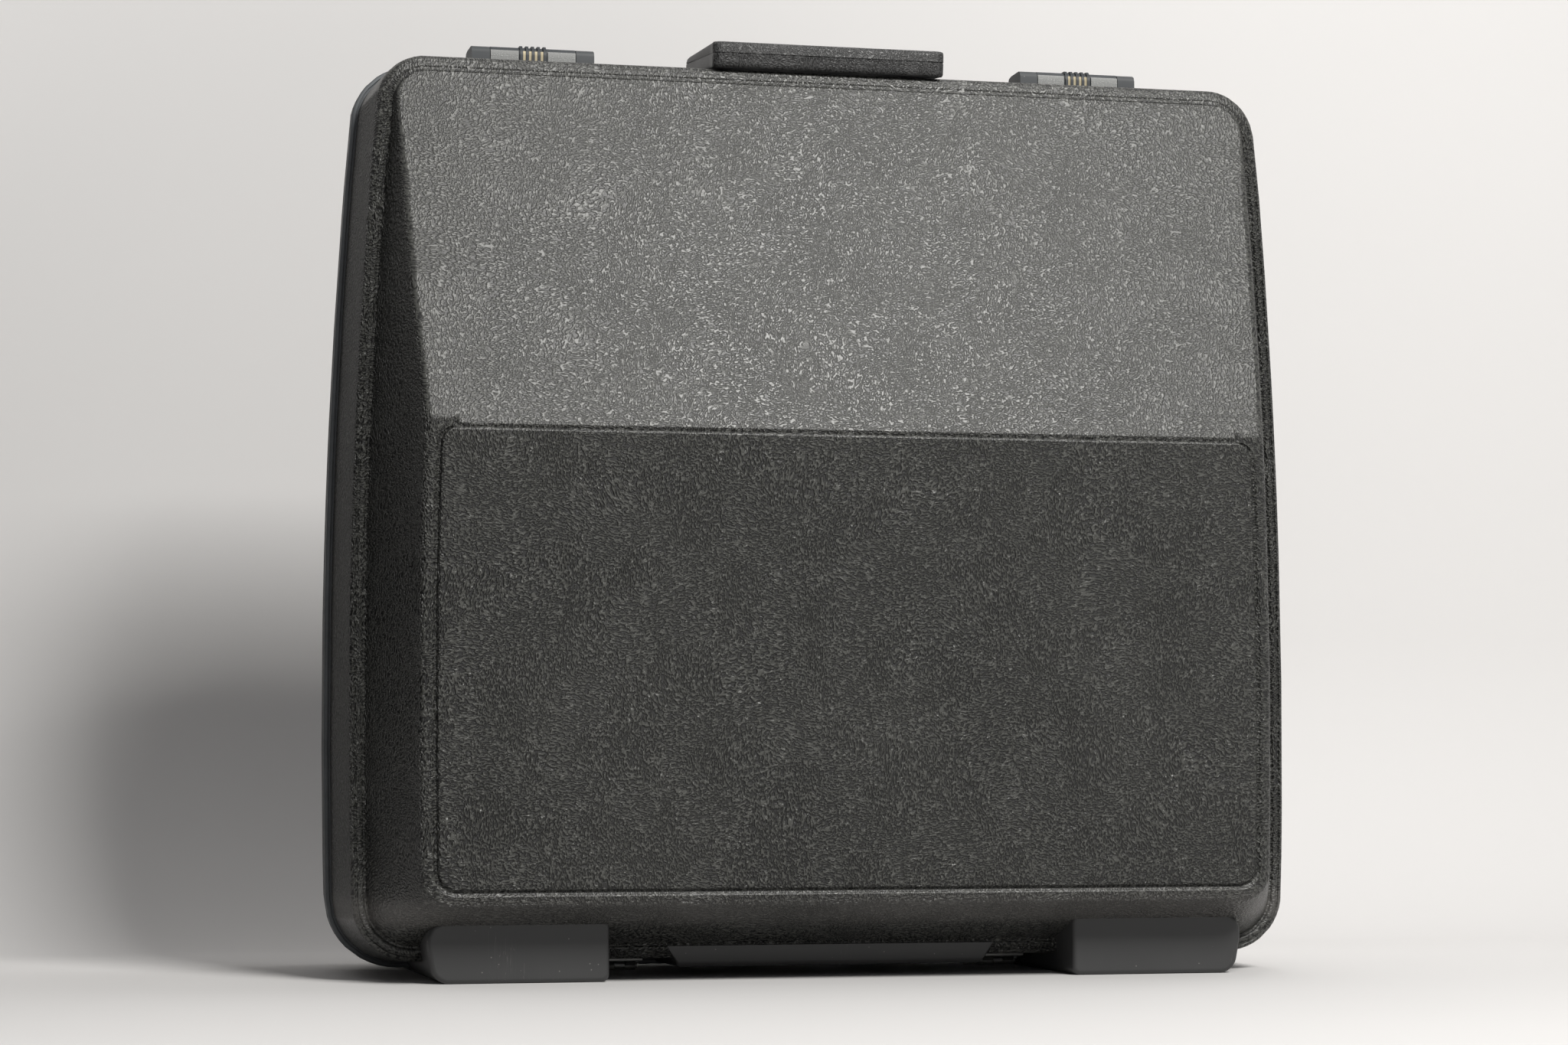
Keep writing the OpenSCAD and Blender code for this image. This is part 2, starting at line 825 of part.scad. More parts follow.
module lever() {
  skin_t = 1.8;
  difference() {
    union() {
      // Front bar of the full width, ended by the fork
      intersection() {
        side_extrude(-lever_half_w, 2 * lever_half_w)
          polygon(lever_outline());
        translate([-lever_half_w, -latch_front - 5, rail_top - 10])
          cube([2 * lever_half_w, latch_front + 5 - fork_front, 40]);
      }
      // Narrower tail with the pivots
      side_extrude(-web_x - web_t, 2 * (web_x + web_t))
        union() {
          polygon(lever_outline());
          translate(lever_axis)
            circle(r = 3.4, $fn = 32);
        }
      // Ribs across the middle of the grip
      for (k = [0:ribs - 1])
        side_extrude((k - (ribs - 1) / 2) * rib_zone_w / (ribs - 0.3) - 0.8, 1.6)
          polygon([[-20, lever_top - 1], [-21, lever_top + 0.7],
            [-latch_front + 2.6, lever_top + 0.6], [-latch_front + 0.4, lever_top - 1.6],
            [-latch_front - 0.4, lever_top - 5], [-latch_front + 0.1, rail_top - 2.4],
            [-latch_front + 2, rail_top - 3]]);
    }
    // Hollow underside between the webs
    side_extrude(-web_x, 2 * web_x)
      polygon([[0, lever_top - skin_t - 0.2], [-20, lever_top - skin_t],
        [-latch_front + 4, lever_top - skin_t - 0.6], [-latch_front + 2.8, lever_top - 5],
        [-latch_front + 3.2, rail_top - 6], [0, rail_top - 6]]);
    for (axis_yz = [lever_axis, hasp_axis])
      translate([-latch_w, axis_yz[0], axis_yz[1]])
        rotate([0, 90, 0])
          cylinder(r = latch_pin_r + (axis_yz == lever_axis ? run_gap : fit_gap),
            h = 2 * latch_w, $fn = turned);
  }
}

// Stippled inserts on both sides of the ribs
module grip_pads() {
  inner = rib_zone_w / 2 + 0.4;
  for (side = [0, 1])
    mirror([side, 0, 0])
      side_extrude(inner, lever_half_w - inner)
        polygon([[-latch_front + 0.86, lever_top - 2.4], [-latch_front + 0.46, lever_top - 5],
          [-latch_front + 0.92, rail_top - 2.4], [-latch_front + 0.1, rail_top - 2.4],
          [-latch_front - 0.3, lever_top - 5.2], [-latch_front, lever_top - 3]]);
}

// Gold strips between the ribs
module stripes() {
  pitch = rib_zone_w / (ribs - 0.3);
  for (k = [0:ribs - 2])
    side_extrude((k - (ribs - 2) / 2) * pitch - pitch / 2 + 0.85, pitch - 1.7)
      polygon([[-latch_front + 0.86, lever_top - 2.4], [-latch_front + 0.46, lever_top - 5],
        [-latch_front + 0.92, rail_top - 2.4], [-latch_front + 0.5, rail_top - 2.4],
        [-latch_front + 0.05, lever_top - 5], [-latch_front + 0.45, lever_top - 2.6]]);
}

// Hasp: a plate over the rails with a hook behind the keeper and two arms
hook_y = 9.3;
module hasp() {
  plate_under = rail_top + 0.6;
  difference() {
    union() {
      side_extrude(-arm_x - hasp_t, 2 * (arm_x + hasp_t))
        polygon([[-2.6, plate_under], [hook_y, plate_under], [hook_y, rail_top - 1.6],
          [hook_y + hasp_t, rail_top - 1.6], [hook_y + hasp_t, plate_under + hasp_t - 0.4],
          [hook_y + hasp_t - 0.4, plate_under + hasp_t], [-2.6, plate_under + hasp_t]]);
      for (side = [0, 1])
        mirror([side, 0, 0])
          side_extrude(arm_x, hasp_t)
            union() {
              translate(hasp_axis)
                circle(r = 2.3, $fn = 32);
              polygon([[hasp_axis[0], hasp_axis[1] - 1.5],
                [-rail_depth - 2, hasp_axis[1] - 1.5], [-rail_depth - 0.5, plate_under],
                [-2, plate_under], [-2, plate_under + hasp_t],
                [hasp_axis[0], hasp_axis[1] + 1.5]]);
            }
    }
    translate([-latch_w, hasp_axis[0], hasp_axis[1]])
      rotate([0, 90, 0])
        cylinder(r = latch_pin_r + run_gap, h = 2 * latch_w, $fn = turned);
  }
}

// Catch plate on the rear half, bent up under the hasp
module keeper() {
  plate_t = 1.4;
  lug_t = 2;
  half_w = 15;
  lug_y = hook_y - 0.65;
  mirror([0, 1, 0])
    difference() {
      union() {
        side_extrude(-half_w, 2 * half_w)
          polygon([[-lug_y + lug_t, wall_top(lug_y - lug_t) + 0.02],
            [-lug_y, wall_top(lug_y) + 0.02], [-lug_y, rail_top + 0.2],
            [-lug_y + lug_t, rail_top + 0.2]]);
        side_extrude(-half_w, 2 * half_w)
          polygon([[-lug_y + lug_t, wall_top(lug_y - lug_t) + 0.02],
            [-22, wall_top(22) + 0.02], [-22, wall_top(22) + plate_t],
            [-lug_y + lug_t, wall_top(lug_y - lug_t) + plate_t]]);
      }
      for (dx = [-1, 1])
        on_wall(dx * keeper_rivet_dx, keeper_rivet_y, true)
          rivet_hole();
    }
}

module at_latch(side) {
  translate([side * latch_x, 0, 0])
    children();
}

module latch_base_left() {
  color("#20242b") at_latch(-1) latch_base();
}
module latch_base_right() {
  color("#20242b") at_latch(1) latch_base();
}
module lever_left() {
  color("#20242b") at_latch(-1) lever();
}
module lever_right() {
  color("#20242b") at_latch(1) lever();
}
module grip_pads_left() {
  color("#5d6166") at_latch(-1) grip_pads();
}
module grip_pads_right() {
  color("#5d6166") at_latch(1) grip_pads();
}
module stripes_left() {
  color("#c9a24a") at_latch(-1) stripes();
}
module stripes_right() {
  color("#c9a24a") at_latch(1) stripes();
}
module hasp_left() {
  color("silver") at_latch(-1) hasp();
}
module hasp_right() {
  color("silver") at_latch(1) hasp();
}

module lever_pins() {
  color("silver")
    for (latch = [-1, 1], side = [0, 1])
      at_latch(latch)
        mirror([side, 0, 0])
          translate([ear_x, lever_axis[0], lever_axis[1]])
            rotate([0, 90, 0])
              cylinder(r = latch_pin_r, h = web_x + web_t - ear_x - 0.1, $fn = turned);
}

module hasp_pins() {
  for (side = [0, 1])
    mirror([side, 0, 0])
      translate([web_x, hasp_axis[0], hasp_axis[1]])
        rotate([0, 90, 0])
          cylinder(r = latch_pin_r, h = web_t + 0.4 + hasp_t, $fn = turned);
}
module hasp_pins_left() {
  color("silver") at_latch(-1) hasp_pins();
}
module hasp_pins_right() {
  color("silver") at_latch(1) hasp_pins();
}

module keepers() {
  color("silver")
    for (side = [-1, 1])
      at_latch(side)
        keeper();
}

module latch_rivets() {
  color("silver")
    latch_rivet_places()
      rivet(floor_t + 1);
}

module keeper_rivets() {
  color("silver")
    mirror([0, 1, 0])
      keeper_rivet_places()
        rivet(1.4);
}

// Foam glued inside a shell, behind the rail's flange
module lining(sloping) {
  outer = wall + glue_gap;
  edge = flange_end + 0.5;
  difference() {
    half_form(outer, edge, sloping);
    half_form(outer + lining_t, edge - 2, sloping);
  }
}

module front_lining() {
  color("#5a1f26")
    lining(true);
}

module rear_lining() {
  color("#5a1f26")
    mirror([0, 1, 0])
      lining(false);
}

// Foam block that the instrument stands on, with its upper edges rounded
module foam_block() {
  back = flange_end + 4;
  front = wall_depth - wall - lining_t - 3;
  under = wall_under(wall_depth) + wall + glue_gap + lining_t + 0.3;
  r = 6;
  rotate([90, 0, 0])
    translate([0, 0, back])
      linear_extrude(front - back)
        hull() {
          for (side = [-1, 1])
            translate([side * (block_half_w - r), under + block_h - r])
              circle(r = r, $fn = turned);
          translate([-block_half_w, under])
            square([2 * block_half_w, 1]);
        }
}

module front_block() {
  color("#6b2831")
    foam_block();
}

module rear_block() {
  color("#6b2831")
    mirror([0, 1, 0])
      foam_block();
}

front_shell();
rear_shell();
front_rail();
rear_rail();
hinge_leaf_front();
hinge_leaf_rear();
hinge_pins();
hinge_rivets_front();
hinge_rivets_rear();
handle_upper();
handle_lower();
handle_core();
handle_screws();
handle_brackets();
handle_pins();
bracket_rivets();
latch_base_left();
latch_base_right();
lever_left();
lever_right();
grip_pads_left();
grip_pads_right();
stripes_left();
stripes_right();
hasp_left();
hasp_right();
lever_pins();
hasp_pins_left();
hasp_pins_right();
keepers();
latch_rivets();
keeper_rivets();
front_lining();
rear_lining();
front_block();
rear_block();
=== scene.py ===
"""Looks of an accordion case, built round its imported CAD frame.

Sizes in the classes are in millimetres, as on a maker's drawing. Meshes are in metres, with
+X to the right, +Y towards the back and +Z up.
"""

import logging
import math
from dataclasses import dataclass
from enum import Enum
from typing import Any, Callable, Sequence

import bpy
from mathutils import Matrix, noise


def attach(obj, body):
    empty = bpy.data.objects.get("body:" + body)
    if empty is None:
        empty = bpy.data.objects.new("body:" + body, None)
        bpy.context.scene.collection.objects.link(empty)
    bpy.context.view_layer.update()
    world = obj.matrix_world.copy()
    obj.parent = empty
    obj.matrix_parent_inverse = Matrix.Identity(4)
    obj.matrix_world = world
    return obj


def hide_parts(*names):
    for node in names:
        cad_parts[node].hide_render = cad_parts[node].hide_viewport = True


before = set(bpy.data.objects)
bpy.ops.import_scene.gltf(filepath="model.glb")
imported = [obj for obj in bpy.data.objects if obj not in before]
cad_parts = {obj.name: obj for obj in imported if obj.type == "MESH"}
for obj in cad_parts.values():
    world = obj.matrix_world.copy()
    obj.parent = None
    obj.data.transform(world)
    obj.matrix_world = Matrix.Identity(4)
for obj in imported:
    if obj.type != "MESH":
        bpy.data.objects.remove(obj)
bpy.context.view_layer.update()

LOG = logging.getLogger("accordion_case")
MM = 0.001
Point = tuple[float, float, float]
Flat = tuple[float, float]
Colour = tuple[float, float, float, float]
Ring = list[Point]


class Half(Enum):
    """The two halves of the case, by the way each faces along Y."""

    FRONT = -1
    REAR = 1


class Body(Enum):
    """Bodies of the frame that the pieces ride on."""

    FRONT = "front_half"
    REAR = "rear_half"
    HANDLE = "carry_handle"
    LEFT_LEVER = "left_lever"
    RIGHT_LEVER = "right_lever"
    LEFT_HASP = "left_hasp"
    RIGHT_HASP = "right_hasp"


# ---- Modelling tools


def clear_selection() -> None:
    """Leaves edit mode and deselects every object."""
    if bpy.context.object and bpy.context.object.mode != "OBJECT":
        bpy.ops.object.mode_set(mode="OBJECT")
    bpy.ops.object.select_all(action="DESELECT")


def take(obj: bpy.types.Object) -> None:
    """Makes one object the selected and active one."""
    clear_selection()
    obj.select_set(True)
    bpy.context.view_layer.objects.active = obj


def name_piece(obj: bpy.types.Object, name: str) -> bpy.types.Object:
    """Names an object and its mesh alike, and returns the object."""
    obj.name = name
    obj.data.name = name
    return obj


def pick_vertices(obj: bpy.types.Object, wanted: Callable[[Point], bool]) -> None:
    """Enters edit mode with the vertices selected whose place, in millimetres, is wanted.

    Args:
        obj: The mesh object.
        wanted: Tells whether a vertex at a place is selected.
    """
    take(obj)
    bpy.ops.object.mode_set(mode="EDIT")
    bpy.ops.mesh.select_mode(type="VERT")
    bpy.ops.mesh.select_all(action="DESELECT")
    bpy.ops.object.mode_set(mode="OBJECT")
    for vertex in obj.data.vertices:
        vertex.select = wanted(tuple(c / MM for c in vertex.co))
    bpy.ops.object.mode_set(mode="EDIT")


def pick_edges(obj: bpy.types.Object, wanted: Callable[[Point, Point], bool]) -> None:
    """Enters edit mode with the edges selected whose two ends, in millimetres, are wanted.

    Args:
        obj: The mesh object.
        wanted: Tells whether an edge between two places is selected.
    """
    take(obj)
    bpy.ops.object.mode_set(mode="EDIT")
    bpy.ops.mesh.select_mode(type="EDGE")
    bpy.ops.mesh.select_all(action="DESELECT")
    bpy.ops.object.mode_set(mode="OBJECT")
    places = [tuple(c / MM for c in vertex.co) for vertex in obj.data.vertices]
    for edge in obj.data.edges:
        edge.select = wanted(places[edge.vertices[0]], places[edge.vertices[1]])
    bpy.ops.object.mode_set(mode="EDIT")


def bevel_picked(width: float, segments: int) -> None:
    """Rounds the selected edges, by a width in millimetres, and leaves edit mode."""
    bpy.ops.mesh.bevel(offset=width * MM, segments=segments, affect="EDGES", clamp_overlap=True)
    bpy.ops.object.mode_set(mode="OBJECT")


def loft(name: str, rings: Sequence[Ring]) -> bpy.types.Object:
    """Skins a stack of closed rings, each with the same number of points.

    A circle is added and its edges are extruded once for each ring. Then each vertex goes to
    its place on its ring.

    Args:
        name: Name of the piece.
        rings: Closed rings of places in millimetres.

    Returns:
        The open tube through the rings, as a mesh object at the origin.
    """
    count = len(rings[0])
    clear_selection()
    bpy.ops.mesh.primitive_circle_add(vertices=count, radius=1.0, fill_type="NOTHING")
    obj = name_piece(bpy.context.object, name)
    bpy.ops.object.mode_set(mode="EDIT")
    bpy.ops.mesh.select_all(action="SELECT")
    for _ in rings[1:]:
        bpy.ops.mesh.extrude_edges_move(TRANSFORM_OT_translate={"value": (0.0, 0.0, 1.0)})
    bpy.ops.object.mode_set(mode="OBJECT")
    for vertex in obj.data.vertices:
        level = round(vertex.co.z)
        turn = math.atan2(vertex.co.y, vertex.co.x) / (2 * math.pi)
        place = rings[level][round(turn * count) % count]
        vertex.co = [c * MM for c in place]
    return obj


def near_ring(ring: Ring) -> Callable[[Point], bool]:
    """Tells whether a place is one of a ring's own."""
    known = {tuple(round(c, 2) for c in place) for place in ring}

    def wanted(place: Point) -> bool:
        """True for a place on the ring, give or take a rounding step."""
        return any(
            (round(place[0] + a, 2), round(place[1] + b, 2), round(place[2] + c, 2)) in known
            for a in (-0.004, 0.004) for b in (-0.004, 0.004) for c in (-0.004, 0.004))

    return wanted


def cap_ring(obj: bpy.types.Object, ring: Ring) -> None:
    """Closes a flat ring of a tube with one face."""
    pick_vertices(obj, near_ring(ring))
    bpy.ops.mesh.edge_face_add()
    bpy.ops.object.mode_set(mode="OBJECT")


def close_across(obj: bpy.types.Object, ring: Ring) -> None:
    """Closes a mirror-symmetric ring with level strips from its right side to its left side."""
    on_ring = near_ring(ring)
    pick_edges(obj, lambda a, b: a[0] * b[0] > 0 and on_ring(a) and on_ring(b))
    bpy.ops.mesh.bridge_edge_loops()
    bpy.ops.object.mode_set(mode="OBJECT")


def join_rings(obj: bpy.types.Object, first: Ring, last: Ring) -> None:
    """Bridges two open rings of one mesh."""
    on_first, on_last = near_ring(first), near_ring(last)
    pick_edges(obj, lambda a, b: (on_first(a) and on_first(b)) or (on_last(a) and on_last(b)))
    bpy.ops.mesh.bridge_edge_loops()
    bpy.ops.object.mode_set(mode="OBJECT")


def turn_inside_out(obj: bpy.types.Object) -> None:
    """Flips every face, as for the inner skin of a hollow piece."""
    take(obj)
    bpy.ops.object.mode_set(mode="EDIT")
    bpy.ops.mesh.select_all(action="SELECT")
    bpy.ops.mesh.flip_normals()
    bpy.ops.object.mode_set(mode="OBJECT")


def make_outward(obj: bpy.types.Object) -> None:
    """Merges doubles and turns all faces outwards."""
    take(obj)
    bpy.ops.object.mode_set(mode="EDIT")
    bpy.ops.mesh.select_all(action="SELECT")
    bpy.ops.mesh.remove_doubles(threshold=0.000002)
    bpy.ops.mesh.normals_make_consistent(inside=False)
    bpy.ops.object.mode_set(mode="OBJECT")


def shade(obj: bpy.types.Object, degrees: float) -> None:
    """Smooths the shading over edges flatter than an angle."""
    take(obj)
    bpy.ops.object.shade_smooth_by_angle(angle=math.radians(degrees))


def weigh_normals(obj: bpy.types.Object) -> None:
    """Lets large faces lead the shading, so that flat areas look flat."""
    take(obj)
    modifier = obj.modifiers.new("weighted", "WEIGHTED_NORMAL")
    modifier.keep_sharp = True
    bpy.ops.object.modifier_apply(modifier=modifier.name)


def combine(obj: bpy.types.Object, other: bpy.types.Object, operation: str) -> None:
    """Applies one boolean operation with another solid and removes that solid.

    Args:
        obj: The solid that stays.
        other: The solid that is used up.
        operation: UNION or DIFFERENCE.
    """
    take(obj)
    modifier = obj.modifiers.new("combine", "BOOLEAN")
    modifier.operation = operation
    modifier.solver = "EXACT"
    modifier.material_mode = "TRANSFER"
    modifier.object = other
    bpy.ops.object.modifier_apply(modifier=modifier.name)
    bpy.data.objects.remove(other, do_unlink=True)


def join_pieces(obj: bpy.types.Object, others: Sequence[bpy.types.Object]) -> None:
    """Joins other meshes into one."""
    take(obj)
    for other in others:
        other.select_set(True)
    bpy.ops.object.join()


def block(name: str, low: Point, high: Point) -> bpy.types.Object:
    """A block between two corners in millimetres, at the origin with its place in its mesh."""
    clear_selection()
    centre = [(a + b) / 2 * MM for a, b in zip(low, high)]
    bpy.ops.mesh.primitive_cube_add(size=1.0, location=centre)
    obj = name_piece(bpy.context.object, name)
    obj.scale = [(b - a) * MM for a, b in zip(low, high)]
    bpy.ops.object.transform_apply(location=True, rotation=True, scale=True)
    return obj


def arc(centre: Flat, radius: float, start: float, end: float, steps: int) -> list[Flat]:
    """Points along an arc, with its angles in degrees."""
    return [
        (centre[0] + radius * math.cos(math.radians(start + (end - start) * k / steps)),
         centre[1] + radius * math.sin(math.radians(start + (end - start) * k / steps)))
        for k in range(steps + 1)]


def between(table: Sequence[tuple[float, ...]], at: float) -> tuple[float, ...]:
    """Reads a table of rows, sorted by their first number, in a straight line between rows."""
    if at <= table[0][0]:
        return table[0][1:]
    for low, high in zip(table, table[1:]):
        if at <= high[0]:
            t = (at - low[0]) / (high[0] - low[0])
            return tuple(a + (b - a) * t for a, b in zip(low[1:], high[1:]))
    return table[-1][1:]


# ---- Node tools and shared effects


class Nodes:
    """Adds and links the nodes of one tree."""

    def __init__(self, tree: bpy.types.NodeTree) -> None:
        """Keeps the tree."""
        self.tree = tree

    def add(self, kind: str, inputs: dict[Any, Any] | None = None, **settings: Any) -> bpy.types.Node:
        """Adds a node.

        Args:
            kind: The node's type.
            inputs: What goes into its sockets, each a socket to link or a plain value.
            **settings: The node's own settings.

        Returns:
            The node.
        """
        node = self.tree.nodes.new(kind)
        node.location = (len(self.tree.nodes) % 8 * 190 - 900, -(len(self.tree.nodes) // 8) * 260)
        for key, value in settings.items():
            setattr(node, key, value)
        for key, value in (inputs or {}).items():
            if isinstance(value, bpy.types.NodeSocket):
                self.tree.links.new(value, node.inputs[key])
            else:
                node.inputs[key].default_value = value
        return node

    def math(self, operation: str, a: Any, b: Any = 0.0, clamp: bool = False) -> bpy.types.NodeSocket:
        """One sum on two values, as a socket."""
        return self.add("ShaderNodeMath", {0: a, 1: b}, operation=operation, use_clamp=clamp).outputs[0]

    def span(self, value: Any, low: float, high: float, to_low: float = 0.0, to_high: float = 1.0
             ) -> bpy.types.NodeSocket:
        """Maps a value smoothly from one span to another, as a socket."""
        node = self.add("ShaderNodeMapRange", {"Value": value, "From Min": low, "From Max": high,
                                               "To Min": to_low, "To Max": to_high},
                        interpolation_type="SMOOTHSTEP")
        return node.outputs["Result"]

    def blend(self, factor: Any, a: Any, b: Any) -> bpy.types.NodeSocket:
        """Mixes two colours, as a socket."""
        node = self.add("ShaderNodeMix", {0: factor, 6: a, 7: b}, data_type="RGBA")
        return node.outputs[2]

    def vector(self, operation: str, a: Any, b: Any = None, scale: Any = None) -> bpy.types.NodeSocket:
        """One sum on vectors, as a socket."""
        inputs = {0: a}
        if b is not None:
            inputs[1] = b
        if scale is not None:
            inputs["Scale"] = scale
        return self.add("ShaderNodeVectorMath", inputs, operation=operation).outputs[0]


def new_group(name: str, inputs: dict[str, float | None], outputs: Sequence[str]
              ) -> tuple[bpy.types.NodeTree, Nodes, bpy.types.Node, bpy.types.Node]:
    """Starts a shader node group.

    Args:
        name: Name of the group.
        inputs: Each input with its usual value, or None for a vector.
        outputs: Names of the outputs, all plain numbers.

    Returns:
        The group, its node tools, its input node and its output node.
    """
    tree = bpy.data.node_groups.new(name, "ShaderNodeTree")
    for key, value in inputs.items():
        kind = "NodeSocketVector" if value is None else "NodeSocketFloat"
        socket = tree.interface.new_socket(name=key, in_out="INPUT", socket_type=kind)
        if value is not None:
            socket.default_value = value
    for key in outputs:
        tree.interface.new_socket(name=key, in_out="OUTPUT", socket_type="NodeSocketFloat")
    nodes = Nodes(tree)
    return tree, nodes, nodes.add("NodeGroupInput"), nodes.add("NodeGroupOutput")


def leather_grain_group() -> bpy.types.NodeTree:
    """Embossed leather grain: flat worm-like ridges, narrow valleys between them and long creases.

    Returns:
        The group, with inputs Vector, Cell in millimetres, Warp and Crease, and outputs Height
        and Valley.
    """
    tree, n, given, out = new_group(
        "leather_grain", {"Vector": None, "Cell": 1.0, "Warp": 1.0, "Crease": 0.5},
        ("Height", "Valley"))
    place = n.vector("SCALE", given.outputs["Vector"], scale=n.math("DIVIDE", 1000.0, given.outputs["Cell"]))

    def drifted(at: Any, scale: float, reach: Any) -> bpy.types.NodeSocket:
        """Shifts places by a noise with its own scale and reach."""
        drift = n.add("ShaderNodeTexNoise", {"Vector": place, "Scale": scale, "Detail": 1.0})
        centred = n.vector("SUBTRACT", drift.outputs["Color"], (0.5, 0.5, 0.5))
        return n.vector("ADD", at, n.vector("SCALE", centred, scale=reach))

    bent = drifted(drifted(place, 0.018, 22.0), 0.22, n.math("MULTIPLY", given.outputs["Warp"], 2.2))

    def worms(stretch: Point, shift: Point) -> bpy.types.NodeSocket:
        """One soft wave, drawn out along the short axes of the stretch."""
        at = n.vector("ADD", n.vector("MULTIPLY", bent, stretch), shift)
        return n.add("ShaderNodeTexNoise", {"Vector": at, "Scale": 1.0, "Detail": 0.6}).outputs[0]

    level = worms((0.56, 0.6, 1.02), (0.0, 0.0, 0.0))
    slant = worms((1.0, 0.6, 0.60), (31.0, 7.0, 3.0))
    mask = n.add("ShaderNodeTexNoise", {"Vector": place, "Scale": 0.035, "Detail": 1.0}).outputs[0]
    share = n.span(mask, 0.42, 0.58)
    wave = n.math("ADD", n.math("MULTIPLY", level, n.math("SUBTRACT", 1.0, share)),
                  n.math("MULTIPLY", slant, share))
    folds = n.add("ShaderNodeTexVoronoi", {"Vector": n.vector("MULTIPLY", bent, (0.075, 0.075, 0.035)),
                                           "Scale": 1.0}, feature="DISTANCE_TO_EDGE")
    crease = n.math("MULTIPLY", n.span(folds.outputs["Distance"], 0.0, 0.022, 1.0, 0.0), given.outputs["Crease"])
    sunk = n.math("MAXIMUM", n.span(wave, 0.66, 0.34), n.math("MULTIPLY", crease, 0.9))
    n.tree.links.new(n.math("SUBTRACT", 1.0, sunk), out.inputs["Height"])
    n.tree.links.new(sunk, out.inputs["Valley"])
    return tree


def dust_group() -> bpy.types.NodeTree:
    """Loose specks, cloudy dust and fine scratches.

    Returns:
        The group, with inputs Vector, Size in millimetres and Amount, and outputs Specks, Cloud
        and Scratches.
    """
    tree, n, given, out = new_group(
        "dust_and_scratches", {"Vector": None, "Size": 1.0, "Amount": 0.5}, ("Specks", "Cloud", "Scratches"))
    place = n.vector("SCALE", given.outputs["Vector"], scale=n.math("DIVIDE", 1000.0, given.outputs["Size"]))
    dots = n.add("ShaderNodeTexVoronoi", {"Vector": place, "Scale": 0.22})
    chance = n.add("ShaderNodeSeparateColor", {0: dots.outputs["Color"]})
    some = n.math("LESS_THAN", chance.outputs[0], n.math("MULTIPLY", given.outputs["Amount"], 0.5))
    specks = n.math("MULTIPLY", n.span(dots.outputs["Distance"], 0.04, 0.12, 1.0, 0.0), some)
    haze = n.add("ShaderNodeTexNoise", {"Vector": place, "Scale": 0.012, "Detail": 5.0, "Roughness": 0.6})
    cloud = n.math("MULTIPLY", n.span(haze.outputs[0], 0.38, 0.72), given.outputs["Amount"])
    lines = n.add("ShaderNodeTexNoise", {"Vector": n.vector("MULTIPLY", place, (0.9, 0.6, 0.035)),
                                         "Scale": 0.5, "Detail": 2.0})
    thin = n.span(n.math("ABSOLUTE", n.math("SUBTRACT", lines.outputs[0], 0.5)), 0.0, 0.006, 1.0, 0.0)
    patch = n.add("ShaderNodeTexNoise", {"Vector": place, "Scale": 0.02, "Detail": 1.0})
    scratches = n.math("MULTIPLY", n.math("MULTIPLY", thin, n.span(patch.outputs[0], 0.55, 0.7)),
                       given.outputs["Amount"])
    for key, value in (("Specks", specks), ("Cloud", cloud), ("Scratches", scratches)):
        n.tree.links.new(value, out.inputs[key])
    return tree


def stipple_group() -> bpy.types.NodeTree:
    """Close rows of small raised dots.

    Returns:
        The group, with inputs Vector and Pitch in millimetres, and output Height.
    """
    tree, n, given, out = new_group("stipple", {"Vector": None, "Pitch": 0.8}, ("Height",))
    place = n.vector("SCALE", given.outputs["Vector"], scale=n.math("DIVIDE", 1000.0, given.outputs["Pitch"]))
    dots = n.add("ShaderNodeTexVoronoi", {"Vector": place, "Scale": 1.0, "Randomness": 0.25})
    n.tree.links.new(n.span(dots.outputs["Distance"], 0.12, 0.5, 1.0, 0.0), out.inputs["Height"])
    return tree


def pile_group() -> bpy.types.NodeTree:
    """Short plush pile with brushed patches.

    Returns:
        The group, with inputs Vector and Tuft in millimetres, and outputs Height and Nap.
    """
    tree, n, given, out = new_group("plush_pile", {"Vector": None, "Tuft": 0.9}, ("Height", "Nap"))
    place = n.vector("SCALE", given.outputs["Vector"], scale=n.math("DIVIDE", 1000.0, given.outputs["Tuft"]))
    tufts = n.add("ShaderNodeTexNoise", {"Vector": place, "Scale": 1.4, "Detail": 3.0, "Roughness": 0.7})
    strokes = n.add("ShaderNodeTexNoise", {"Vector": n.vector("MULTIPLY", place, (0.02, 0.02, 0.035)),
                                           "Scale": 1.0, "Detail": 3.0})
    n.tree.links.new(tufts.outputs[0], out.inputs["Height"])
    n.tree.links.new(n.span(strokes.outputs[0], 0.35, 0.65), out.inputs["Nap"])
    return tree


class Effects:
    """The shared effects, each built once."""

    def __init__(self) -> None:
        """Builds the node groups."""
        self.grain = leather_grain_group()
        self.dust = dust_group()
        self.stipple = stipple_group()
        self.pile = pile_group()


# ---- Finishes


